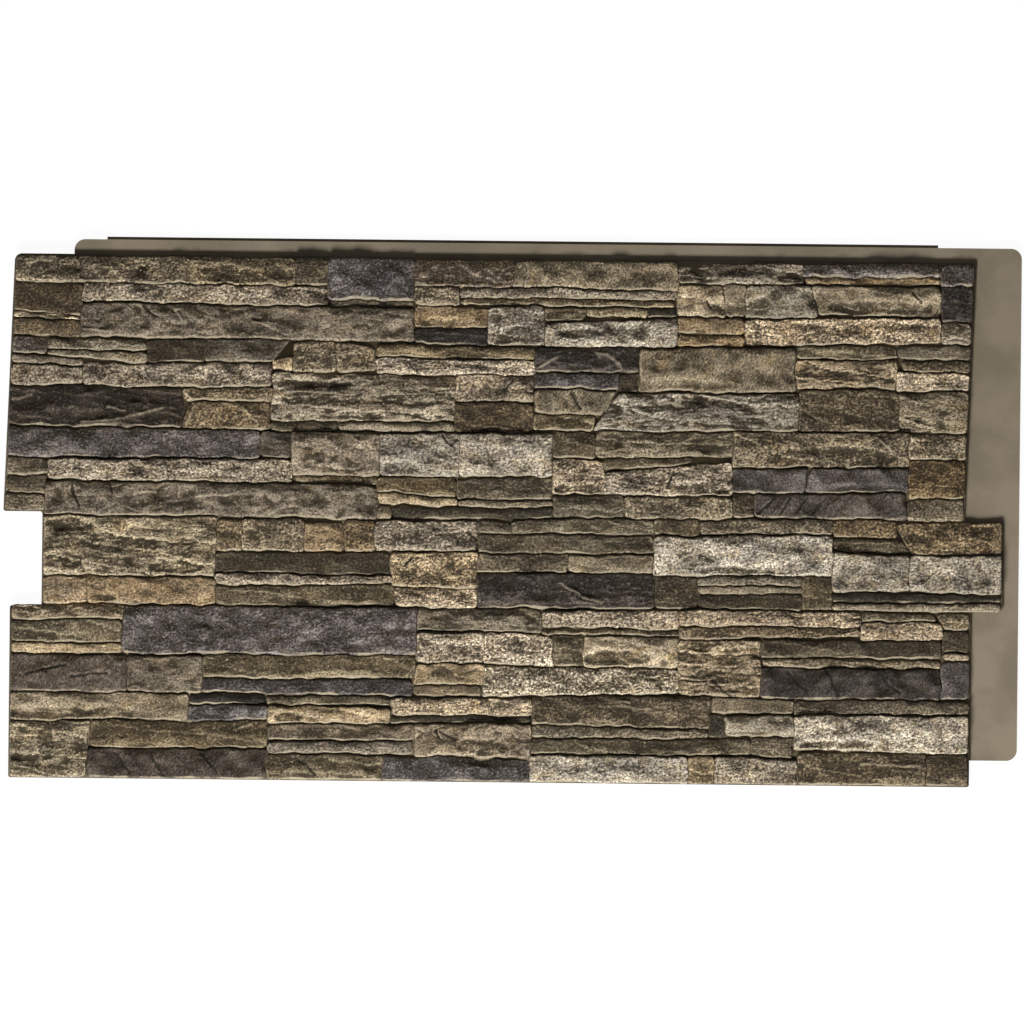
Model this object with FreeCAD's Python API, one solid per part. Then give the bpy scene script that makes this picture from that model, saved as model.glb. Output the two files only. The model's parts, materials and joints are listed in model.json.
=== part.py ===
"""An interlocking faux stone wall panel, moulded in one piece from rigid foam, lying on its flat back.

The face is a dry-stacked ledge stone wall: long thin stones of many heights, each standing its own
distance out of the joints between them. A thin flange runs along the top and the right edge, and the
neighbouring panels lie over it with the rebates cut under their left and bottom edges. A tongue of
stones on the right edge goes into a socket cut in the left edge of the next panel.

Lengths are in millimetres. +X runs along the courses, +Y up the wall, +Z out of the wall. The origin
is in the middle of the back. The drawing below measures x from the left and y from the bottom edge.
"""
import FreeCAD
import Part
import math
import os

# What one panel covers on the wall, and how thick it is
cover_length = 1155.0
cover_height = 630.0
bed_height = 18.0        # from the back to the floor of the joints between the stones
relief = 14.0            # from the floor of the joints to the face of the proudest stones

# The left edge of the face. The right edge is the same line, one covered length further on
lower_edge = 10.0        # x of the edge below the socket
upper_edge_foot = 1.0    # x of the edge just above the socket
upper_edge_head = 12.0   # x of the edge at the top of the face

head_corner = 9.0        # radius of the face's upper left corner
face_corner = 3.0        # radius of its other corners

# Socket in the left edge, and the tongue that goes into the next panel's socket
socket_foot = 207.0
socket_head = 320.0
socket_end = 48.0        # x of the socket's closed end
tongue_gap = 5.0         # free space above and below a tongue in its socket

# Flange along the top and the right edge
flange_thickness = 10.0
top_flange_height = 18.0
top_flange_start = 83.0
side_flange_width = 57.5
side_flange_foot = 32.0
flange_corner = 13.0
flange_overlap = 5.0     # how far the flange runs on behind the face, and the lip into the flange
lip_height = 3.5         # thin lip along the back of the top flange
lip_thickness = 3.0
lip_start_inset = 39.0   # from the top flange's start to the lip
lip_end_inset = 100.5    # from the lip to the side flange's outer edge

# Rebates under the left and the bottom edge, which take the neighbours' flanges
rebate_gap = 0.5         # between a flange's face and the rebate's roof
rebate_edge_gap = 1.5    # between a flange's edge and the rebate's wall

# Stones
rim = 0.6                # strip of bed that shows outside the outermost stones
root = 2.0               # depth that a stone is sunk into the bed
arris = 1.6              # how far a stone's face falls away at its edges
side_draft = 0.7         # how much narrower a stone is at its face than at its foot
end_round = 3.0          # length over which a stone's ends fall away
hollow = 0.5             # how deep a long stone's face dips between its high spots
facet_length = 75.0      # a stone longer than this is broken into facets about this long

# Stops on the drawing that the stones are laid to: the ends of the face, the levels of its foot, the
# socket's foot and head and its own head, and the lifts of a joint and of the proudest stones. Each
# has its place on the panel, and the stones keep their share of the way from one to the next.
DRAWN_ENDS = (0, 1155)
DRAWN_LEVELS = (0, 207, 320, 630)
DRAWN_LIFTS = (0, 14)
EDGE = None              # a stone's end or edge that runs out to the rim of the face

# The stones from the top course down.
# lift: face above the bed. tilt: how much the lower lip stands out beyond the upper one.
# left, right; lower edge at left and right; upper edge at left and right; how far each end leans.
STONES = (
    # lift tilt left right  lower edge   upper edge   lean
    (11, 1, EDGE, 221, 598, 596, EDGE, EDGE, 0, 0),
    (12, 1, 223, 347, 596, 596, EDGE, 628, 0, 0),
    (8, 0, 350, 388, 596, 597, 628, 628, 0, 0),
    (14, 0, 390, 491, 580, 580, EDGE, EDGE, 0, 0),
    (4, 0, 392, 491, 571, 571, 578, 578, 0, 0),
    (12, 1, 494, 608, 598, 597, 628, EDGE, 0, 6),
    (12, 0, 613, 808, 598, 595, EDGE, 628, 6, 0),
    (11, 0, 811, 959, 603, 602, 626, EDGE, 0, 0),
    (12, 0, 961, 1125, 613, 614, 628, EDGE, 0, 0),
    (7, 1, 963, 1125, 602, 604, 611, 612, 0, 0),
    (11, 0, 1127, EDGE, 604, 604, EDGE, EDGE, 0, 0),

    (6, 1, EDGE, 92, 561, 557, 596, 593, 0, 0),
    (12, 0, 95, 388, 575, 572, 594, 593, 0, 0),
    (11, 0, 494, 547, 575, 574, 596, 595, 0, 0),
    (11, -1, 549, 806, 584, 583, 595, 592, 0, 0),
    (6, 1, 552, 800, 575, 573, 582, 581, 0, 0),
    (12, 0, 811, 867, 564, 563, 601, 601, 0, -5),
    (11, 0, 870, 890, 563, 563, 601, 600, -5, 0),
    (12, 0, 892, 976, 562, 563, 600, 601, 0, -8),
    (11, -1, 979, 1124, 568, 565, 601, 602, -8, 0),
    (10, 0, 1127, EDGE, 560, 560, 602, 602, 0, 0),

    (9, 1, EDGE, 92, 554, 553, 560, 556, 0, 0),
    (8, -1, EDGE, 92, 532, 533, 552, 551, 0, 0),
    (13, 1, 95, 491, 534, 531, 570, 568, 0, 0),
    (11, 0, 495, 578, 547, 547, 571, 570, 0, 0),
    (8, 0, 496, 580, 529, 526, 544, 544, 0, 0),
    (10, 0, 583, 648, 530, 529, 571, 573, 0, 0),
    (9, 0, 651, 698, 557, 557, 572, 571, 0, 0),
    (13, -1, 652, 806, 526, 527, 551, 559, 0, 0),
    (7, 0, 701, 772, 565, 564, 572, 571, 0, 0),
    (8, 0, 775, 806, 562, 562, 571, 570, 0, 0),
    (11, 0, 811, 888, 543, 542, 561, 561, 0, 0),
    (9, 1, 811, 888, 528, 529, 540, 540, 0, 0),
    (12, 0, 892, 1124, 530, 535, 559, 563, 0, 0),
    (9, 0, 1127, EDGE, 532, 532, 557, 557, 0, 0),

    (9, 0, EDGE, 51, 511, 511, 529, 529, 0, 0),
    (10, 0, 54, 171, 516, 516, 529, 525, 0, 0),
    (8, 0, 54, 171, 508, 503, 514, 513, 0, 0),
    (7, 0, 174, 241, 503, 503, 526, 527, 0, 0),
    (10, 1, 243, 321, 504, 505, 527, 528, 0, 14),
    (8, 0, 324, 347, 496, 496, 506, 511, 0, 0),
    (11, 0, 350, 398, 496, 496, 526, 527, 0, 0),
    (10, 0, 401, 445, 496, 497, 527, 517, 0, 0),
    (8, 0, 449, 637, 511, 510, 524, 522, 0, 0),
    (12, 0, 448, 637, 492, 491, 508, 507, 0, 0),
    (13, 0, 641, 761, 496, 496, 521, 522, 0, 0),
    (12, -1, 765, 949, 476, 477, 519, 524, 0, 0),
    (8, 0, 952, 1072, 514, 514, 528, 528, 0, 0),
    (8, 0, 1075, EDGE, 514, 513, 528, 528, 0, 0),
    (11, 0, 954, 1072, 478, 479, 511, 511, 0, 0),
    (6, 0, 1084, EDGE, 502, 498, 511, 511, 0, 0),
    (12, 0, 1075, EDGE, 478, 476, 499, 495, 0, 0),

    (8, 0, EDGE, 95, 499, 497, 508, 503, 0, 0),
    (10, 0, EDGE, 93, 474, 473, 495, 494, 0, 0),
    (11, 0, 96, 319, 473, 473, 498, 499, 0, 0),
    (12, 0, 324, 541, 434, 435, 488, 482, 0, 0),
    (11, 0, 545, 635, 460, 459, 488, 488, 0, 0),
    (10, 0, 544, 636, 422, 422, 456, 455, 0, 0),
    (10, 1, 641, 738, 477, 476, 491, 492, 0, 0),
    (12, 0, 641, 718, 447, 446, 472, 472, 0, 13),
    (8, 1, 639, 706, 425, 424, 442, 442, 0, 4),
    (5, 0, 742, 762, 472, 474, 490, 492, 0, 0),
    (13, 0, 711, 955, 427, 428, 467, 466, 32, 0),
    (11, 0, 957, 1075, 428, 429, 473, 475, 0, 0),
    (11, 0, 1078, EDGE, 428, 428, 474, 474, 0, 0),

    (13, 1, EDGE, 213, 428, 425, 471, 470, 0, 0),
    (10, 0, 226, 321, 457, 456, 470, 470, -10, 0),
    (11, 0, 217, 319, 423, 422, 452, 452, 10, 0),
    (5, 0, 322, 402, 422, 422, 431, 431, 0, 0),
    (7, 0, 404, 541, 422, 422, 431, 430, 0, 0),

    (12, 0, EDGE, 307, 388, 388, 420, 419, 0, 0),
    (10, 0, 311, 344, 389, 389, 417, 417, 0, 0),
    (14, 0, 348, 449, 369, 369, 418, 417, 0, 0),
    (12, 0, 456, 547, 369, 368, 416, 418, 0, 0),
    (13, 0, 550, 659, 371, 371, 418, 418, 0, 0),
    (9, 0, 662, 711, 393, 393, 421, 420, 0, 0),
    (10, 0, 715, 875, 394, 395, 421, 421, 0, 0),
    (12, -1, 878, 1087, 383, 384, 424, 424, 0, 0),
    (10, 0, 1091, EDGE, 396, 395, 421, 421, 0, 0),
    (9, 0, 1091, EDGE, 348, 348, 390, 390, 0, 0),

    (9, 0, EDGE, 52, 366, 367, 384, 384, 0, 0),
    (7, 1, EDGE, 52, 345, 344, 361, 363, 0, 0),
    (9, 0, EDGE, 50, 323, 323, 341, 340, 0, 0),
    (12, 0, 56, 347, 361, 358, 382, 384, 0, 0),
    (4, 0, 352, 449, 358, 358, 366, 365, 0, 0),
    (13, 0, 53, 449, 322, 320, 356, 355, 0, 0),
    (8, 0, 452, 545, 349, 343, 366, 365, 0, 0),
    (9, 0, 452, 545, 334, 333, 346, 340, 0, 0),
    (8, 0, 452, 466, 316, 316, 331, 330, 0, 0),
    (8, 0, 548, 659, 341, 341, 363, 367, 0, 0),
    (8, 0, 548, 659, 332, 332, 338, 338, 0, 0),
    (5, 0, 469, 659, 319, 319, 330, 329, 0, 0),
    (12, 0, 662, 721, 349, 351, 389, 388, 0, 0),
    (12, 0, 725, 876, 349, 349, 373, 387, 0, 0),
    (6, 0, 724, 828, 378, 386, 390, 391, 0, 0),
    (10, 0, 662, 745, 322, 322, 344, 345, 0, 0),
    (11, 0, 748, 875, 322, 322, 343, 343, 0, 0),
    (11, 0, 878, 962, 353, 353, 379, 379, 0, 0),
    (12, 0, 966, 1087, 354, 355, 380, 381, 10, 0),
    (8, 0, 878, 901, 323, 323, 349, 349, 0, 0),
    (11, 0, 904, 1085, 324, 323, 349, 351, 0, 0),
    (8, 0, 1089, EDGE, 325, 325, 344, 344, 0, 0),

    (13, 0, EDGE, 255, 246, 247, 313, 311, 0, 0),
    (9, 0, 259, 286, 276, 276, 306, 306, 0, 0),
    (11, 0, 290, 361, 278, 277, 309, 309, 0, 0),
    (11, 0, 365, 410, 278, 279, 303, 305, 0, 0),
    (10, 0, 413, 446, 277, 278, 310, 309, 0, 0),
    (6, 0, 258, 465, 251, 248, 273, 273, 0, 0),
    (10, 0, 258, 466, 237, 239, 248, 245, 0, 0),
    (8, 0, 259, 470, 212, 213, 231, 234, 0, 0),
    (12, 0, 450, 569, 280, 281, 311, 313, 0, 0),
    (8, 0, 573, 611, 300, 300, 313, 311, 0, 0),
    (9, 0, 613, 781, 300, 299, 315, 316, 0, 0),
    (8, 0, 572, 781, 278, 278, 296, 296, 0, 0),
    (8, 0, 573, 678, 255, 255, 273, 272, 0, 0),
    (11, 0, 682, 782, 255, 256, 271, 273, 0, 0),
    (12, 0, 573, 782, 215, 215, 250, 251, 0, 0),
    (13, 0, 469, 570, 237, 235, 272, 273, 0, 0),
    (10, 1, 474, 570, 212, 213, 232, 231, 0, 0),
    (9, 0, 784, 838, 302, 302, 316, 317, 0, 0),
    (9, 0, 841, 996, 303, 304, 316, 319, 0, 0),
    (14, 0, 785, 996, 252, 254, 295, 299, 0, 0),
    (7, 0, 785, 835, 215, 215, 248, 248, 0, 0),
    (9, 0, 838, 960, 240, 241, 249, 250, 0, 0),
    (8, 0, 838, 960, 230, 231, 238, 238, 0, 0),
    (6, 0, 838, 961, 214, 214, 228, 229, 0, 0),
    (8, 0, 964, 996, 214, 215, 251, 251, 0, 0),
    (9, 0, 1001, 1073, 301, 300, 318, 319, 0, 0),
    (7, 0, 1001, 1090, 284, 282, 297, 297, 0, -12),
    (12, 0, 1097, EDGE, 280, 283, 313, EDGE, -19, 0),
    (14, 0, 1001, 1089, 235, 238, 280, 276, 0, 0),
    (14, 0, 1092, EDGE, 238, 233, 275, 278, 0, 0),
    (7, 0, 1001, EDGE, 222, 223, 231, 229, 0, 0),
    (7, 0, 1001, EDGE, 213, EDGE, 219, 220, 0, 0),

    (9, 0, EDGE, 99, 213, 213, 240, 239, 0, 0),
    (11, 0, 102, 254, 213, 213, 241, 241, 0, 0),
    (10, 0, EDGE, 146, 192, 193, EDGE, 206, 0, 0),
    (9, 0, EDGE, 140, 165, 166, 189, 190, 0, 0),
    (9, 0, EDGE, 140, 151, 151, 161, 161, 0, 0),
    (14, 0, 150, 496, 154, 155, 207, 205, 0, 0),
    (9, 0, 501, 648, 184, 181, 204, 204, 0, 0),
    (11, 0, 651, 812, 188, 187, 202, 206, 0, 0),
    (8, 1, 651, 812, 179, 180, 184, 185, 0, 0),
    (11, 0, 817, 1032, 192, 192, 207, 207, 0, 0),
    (8, 0, 817, 1032, 176, 182, 189, 190, 0, 0),
    (6, 0, 1035, 1117, 199, 200, 209, 207, 0, 0),
    (11, 0, 1035, 1129, 178, 177, 196, 197, 0, 0),
    (9, 0, 1133, EDGE, 190, 190, 207, 207, 0, 0),
    (7, 0, 1133, EDGE, 162, 162, 187, 187, 0, 0),
    (13, 0, 501, 578, 147, 146, 177, 177, 0, 0),
    (12, 0, 581, 664, 147, 145, 177, 176, 0, -5),
    (9, 0, 667, 698, 145, 145, 176, 177, -5, 0),
    (12, -1, 701, 812, 145, 145, 177, 177, 0, 0),
    (12, 0, 817, 911, 108, 107, 174, 173, 0, 0),
    (10, 0, 915, 1129, 155, 156, 173, 173, 0, 0),
    (8, 0, 918, 1128, 143, 143, 152, 151, 0, 0),
    (8, 0, 1132, EDGE, 152, 152, 159, 159, 0, 0),
    (10, 0, 1132, EDGE, 107, 107, 149, 149, 0, 0),
    (12, 0, 914, 1128, 106, 105, 140, 140, 0, 0),

    (12, 0, EDGE, 150, 106, 106, 148, 147, 0, 0),
    (12, 0, 153, 235, 106, 105, 144, 144, 0, 0),
    (9, 1, 249, 496, 124, 127, 147, 150, 0, 0),
    (9, 0, 249, 494, 106, 104, 120, 122, 0, 0),
    (11, 0, 500, 578, 119, 119, 139, 139, 0, 0),
    (8, 0, 499, 575, 106, 106, 116, 116, 0, 0),
    (12, 0, 583, 811, 107, 111, 135, 134, 0, 0),
    (11, 0, 641, 849, 72, 68, 103, 104, 0, 0),
    (8, 0, 640, 850, 57, 58, 69, 65, 0, 0),
    (10, 0, 859, 952, 88, 88, 105, 103, 0, 0),
    (5, 0, 853, 869, 60, 60, 85, 85, 0, 0),
    (12, 0, 872, 953, 61, 61, 82, 84, 0, 0),
    (9, 0, 956, EDGE, 89, 90, 102, 103, 0, 0),
    (14, 0, 956, EDGE, 47, 42, 82, 82, 0, 0),

    (10, 0, EDGE, 224, 71, 74, 102, 101, 0, 0),
    (9, 0, 228, 317, 92, 93, 102, 102, 0, 0),
    (11, 0, 228, 318, 72, 73, 89, 89, 0, 0),
    (6, 0, 321, 468, 92, 93, 101, 101, 0, 0),
    (13, 0, 322, 467, 69, 71, 89, 86, 0, 0),
    (12, 0, 472, 636, 82, 81, 101, 100, 0, 0),
    (5, 0, 471, 636, 72, 73, 79, 79, 0, 0),
    (10, 0, 322, 496, 50, 51, 66, 68, 0, 0),
    (9, 0, 322, 492, 33, 34, 43, 46, 0, 0),
    (13, 0, 498, 636, 33, 34, 69, 70, 0, 0),

    (12, 0, EDGE, 102, EDGE, EDGE, 67, 67, 0, 4),
    (10, 0, 110, 318, 39, 40, 68, 70, 0, 0),
    (13, 0, 105, 319, EDGE, EDGE, 35, 36, 0, 0),
    (10, 0, 322, 457, EDGE, EDGE, 30, 29, 0, 0),
    (11, 0, 461, 634, EDGE, EDGE, 29, 25, 0, 0),
    (13, 0, 640, 826, EDGE, EDGE, 31, 32, 0, 0),
    (8, 0, 640, 900, 38, 38, 52, 53, 0, 0),
    (9, 0, 904, 953, 38, 38, 55, 55, 0, 0),
    (10, 0, 829, 857, EDGE, EDGE, 33, 32, 0, 0),
    (11, 0, 860, 957, EDGE, EDGE, 30, 28, 0, 0),
    (10, 0, 961, 1111, EDGE, EDGE, 37, 38, 0, 0),
    (9, 0, 1114, EDGE, EDGE, EDGE, 36, 38, 0, 0),
)

lower_edge_right = lower_edge + cover_length
upper_edge_right = upper_edge_foot + cover_length
head_edge_right = upper_edge_head + cover_length
side_flange_end = lower_edge_right + side_flange_width
tongue_foot = socket_foot + tongue_gap
tongue_head = socket_head - tongue_gap
tongue_end = socket_end + cover_length
rebate_height = flange_thickness + rebate_gap
side_rebate_wall = lower_edge + side_flange_width + rebate_edge_gap
bottom_rebate_wall = top_flange_height + lip_height + rebate_edge_gap


def upper_lean(y):
    """How far the leaning upper edge has moved right of its foot at height y."""
    share = (y - socket_head) / (cover_height - socket_head)
    return share * (upper_edge_head - upper_edge_foot)


def left_edge(y):
    """x of the face's left edge at height y."""
    if y > socket_head:
        return upper_edge_foot + upper_lean(y)
    if y > socket_foot:
        return socket_end
    return lower_edge


def right_edge(y):
    """x of the face's right edge at height y."""
    if y > tongue_head:
        return upper_edge_right + upper_lean(max(y, socket_head))
    if y > tongue_foot:
        return tongue_end
    return lower_edge_right


def prism(outline, bottom, top):
    """A flat-sided solid over an outline of (x, y) points."""
    points = [FreeCAD.Vector(x, y, bottom) for x, y in outline]
    face = Part.Face(Part.makePolygon(points + points[:1]))
    return face.extrude(FreeCAD.Vector(0, 0, top - bottom))


def face_outline():
    """Outline of the stone face: both end edges, with the socket and the tongue."""
    left = [(lower_edge, 0), (lower_edge, socket_foot), (socket_end, socket_foot),
            (socket_end, socket_head), (upper_edge_foot, socket_head), (upper_edge_head, cover_height)]
    right = [(head_edge_right, cover_height), (upper_edge_right, socket_head),
             (upper_edge_right, tongue_head), (tongue_end, tongue_head),
             (tongue_end, tongue_foot), (lower_edge_right, tongue_foot), (lower_edge_right, 0)]
    return left + right


def rounded(solid, radius, corners):
    """The solid with its upright edges at these (x, y) corners rounded."""
    upright = [edge for edge in solid.Edges if edge.BoundBox.ZLength > flange_thickness / 2]
    near = [edge for edge in upright
            if any(math.dist((edge.CenterOfMass.x, edge.CenterOfMass.y), corner) < radius
                   for corner in corners)]
    return solid.makeFillet(radius, near)


def face_block(height):
    """A block of the face's outline with its corners rounded, from the back up to this height."""
    outline = face_outline()
    head = [(upper_edge_head, cover_height)]
    others = [corner for corner in outline if corner not in head]
    return rounded(rounded(prism(outline, 0, height), head_corner, head), face_corner, others)


def flange():
    """The flange behind the top and right edges, one flat plate, with the lip along its back."""
    top = cover_height + top_flange_height
    inner_x = upper_edge_right - flange_overlap
    inner_y = cover_height - flange_overlap
    plate = prism([(top_flange_start, inner_y), (inner_x, inner_y), (inner_x, side_flange_foot),
                   (side_flange_end, side_flange_foot), (side_flange_end, top),
                   (top_flange_start, top)], 0, flange_thickness)
    plate = rounded(plate, flange_corner, [(side_flange_end, side_flange_foot), (side_flange_end, top),
                                           (top_flange_start, top)])
    lip_start = top_flange_start + lip_start_inset
    lip_end = side_flange_end - lip_end_inset
    lip = Part.makeBox(lip_end - lip_start, lip_height + flange_overlap, lip_thickness,
                       FreeCAD.Vector(lip_start, top - flange_overlap, 0))
    return plate.fuse(lip)


def bed():
    """The board behind the stones, with the rebates for the neighbours' flanges under it."""
    board = face_block(bed_height)
    side_rebate = Part.makeBox(side_rebate_wall, cover_height, rebate_height)
    bottom_rebate = Part.makeBox(lower_edge_right, bottom_rebate_wall, rebate_height)
    return board.cut([side_rebate, bottom_rebate])


def sway(stone, station, feature):
    """A fixed number from -1 to 1 that looks random, so that no two stones break alike."""
    return math.sin(12.9898 * stone + 78.233 * station + 37.719 * feature)


def placed(value, drawn, real):
    """A value from the drawing on the panel, given the drawn stops and their real places."""
    for low, high, start, end in zip(drawn, drawn[1:], real, real[1:]):
        if value <= high:
            break
    return start + (value - low) * (end - start) / (high - low)


def station_x(x):
    """A station along the drawing, on the panel."""
    return placed(x, DRAWN_ENDS, (0, cover_length))


def station_y(y):
    """A height on the drawing, on the panel."""
    return placed(y, DRAWN_LEVELS, (0, socket_foot, socket_head, cover_height))


def edge_heights(low, high):
    """The lower and upper edge's heights at one end of a stone, with EDGE replaced by the rim."""
    drawn_foot, drawn_head = DRAWN_LEVELS[1:3]
    if low is None:
        foot = (tongue_foot if high > drawn_foot else 0) + rim
    else:
        foot = station_y(low)
    if high is not None:
        head = station_y(high)
    elif low > drawn_head:
        head = cover_height - rim
    elif low > drawn_foot:
        head = tongue_head - rim
    else:
        head = socket_foot - rim
    return foot, head


def corners(left, right, low_left, low_right, high_left, high_right, lean_left, lean_right):
    """A stone's four corners as (lower left, lower right, upper left, upper right)."""
    y0, y1 = edge_heights(low_left, high_left)
    y2, y3 = edge_heights(low_right, high_right)
    if left is None:
        near = [(left_edge(y) + rim, y) for y in (y0, y1)]
    else:
        near = [(station_x(left), y0), (station_x(left + lean_left), y1)]
    if right is None:
        far = [(right_edge(y) - rim, y) for y in (y2, y3)]
    else:
        far = [(station_x(right), y2), (station_x(right + lean_right), y3)]
    return near[0], far[0], near[1], far[1]


def section(foot, head, face, tilt, fall):
    """The stone's outline across its length: foot and head are its (x, y) edges there."""
    height = head[1] - foot[1]
    slope = (head[0] - foot[0]) / height
    worn = min(arris, height / 4)
    lip = face + tilt - fall
    back = face - tilt - fall
    profile = ((0, bed_height - root), (side_draft, lip - worn), (side_draft + worn, lip),
               (height - side_draft - worn, back), (height - side_draft, back - worn),
               (height, bed_height - root))
    return Part.makePolygon([FreeCAD.Vector(foot[0] + slope * y, foot[1] + y, z)
                             for y, z in profile + profile[:1]])


def stone(number, lift, tilt, *outline):
    """One stone, lofted through sections along its length."""
    low_left, low_right, high_left, high_right = corners(*outline)
    length = low_right[0] - low_left[0]
    lift, tilt = [placed(part, DRAWN_LIFTS, (0, relief)) for part in (lift, tilt)]
    spans = max(1, round(length / facet_length))
    stations = [0, end_round / length]
    stations += [i / spans for i in range(1, spans)]
    stations += [1 - end_round / length, 1]
    sections = []
    for i, share in enumerate(stations):
        foot = [a + share * (b - a) for a, b in zip(low_left, low_right)]
        head = [a + share * (b - a) for a, b in zip(high_left, high_right)]
        inner = 1 < i < len(stations) - 2
        fall = arris if i in (0, len(stations) - 1) else 0
        face = bed_height + lift
        if inner:
            face += hollow * (sway(number, i, 1) - 1)
        sections.append(section(foot, head, face, tilt, fall))
    return Part.makeLoft(sections, True, True)


def build():
    """The whole panel as one solid, with its origin in the middle of its back."""
    block = face_block(bed_height + 2 * relief)
    stones = []
    for number, row in enumerate(STONES):
        piece = stone(number, *row)
        stones.append(piece.common(block) if EDGE in row else piece)
    panel = bed().fuse(flange()).fuse(stones)
    middle = panel.BoundBox.Center
    panel.translate(FreeCAD.Vector(-middle.x, -middle.y, 0))
    return panel


os.makedirs("parts", exist_ok=True)
panel = build()
panel.exportStep("parts/stone_panel.step")
print("solids", len(panel.Solids), "faces", len(panel.Faces), "valid", panel.isValid(),
      "litres", round(panel.Volume / 1e6, 3), "box", panel.BoundBox)
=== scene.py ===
"""A faux stone wall panel lying on a pale floor: the painted stones, the board behind them and its flanges.

Lengths in the layout are in millimetres from the panel's left end and bottom edge, as in the CAD part;
everything in the scene is in metres in the CAD frame.
"""
import json
import math
import random

import bmesh
import bpy
import numpy as np
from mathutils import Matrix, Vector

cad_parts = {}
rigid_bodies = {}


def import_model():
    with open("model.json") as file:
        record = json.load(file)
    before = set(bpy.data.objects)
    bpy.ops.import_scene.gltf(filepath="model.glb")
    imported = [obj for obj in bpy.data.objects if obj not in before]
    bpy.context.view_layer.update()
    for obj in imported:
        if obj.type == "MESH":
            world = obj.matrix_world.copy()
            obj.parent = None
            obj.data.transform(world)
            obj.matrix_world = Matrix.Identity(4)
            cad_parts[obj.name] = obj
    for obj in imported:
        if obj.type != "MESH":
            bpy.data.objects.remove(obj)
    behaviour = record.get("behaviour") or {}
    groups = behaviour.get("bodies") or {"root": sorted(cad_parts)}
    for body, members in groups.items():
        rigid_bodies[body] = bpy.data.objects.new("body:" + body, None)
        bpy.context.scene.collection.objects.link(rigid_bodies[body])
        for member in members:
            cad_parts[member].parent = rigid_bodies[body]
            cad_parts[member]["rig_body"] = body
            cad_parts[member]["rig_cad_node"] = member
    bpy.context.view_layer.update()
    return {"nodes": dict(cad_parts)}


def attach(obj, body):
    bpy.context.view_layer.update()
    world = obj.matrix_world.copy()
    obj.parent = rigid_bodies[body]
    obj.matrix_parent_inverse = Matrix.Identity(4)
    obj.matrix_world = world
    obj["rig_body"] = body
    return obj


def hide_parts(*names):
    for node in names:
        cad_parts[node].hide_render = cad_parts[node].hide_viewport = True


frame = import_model()

MM = 0.001
PANEL_MIDDLE = (611.8, 325.75)     # of the layout, which is the origin of the CAD frame
BED = 18.0                         # floor of the joints
CELL = 1.7                         # the stones are divided into squares of about this size
GRAIN, LEDGE = 20.0, 80.0          # millimetres to a unit of the stones' two maps
draw = random.Random(48)           # chance, the same in each run
EDGE = None                        # a stone's side that runs out to the rim of the face

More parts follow.
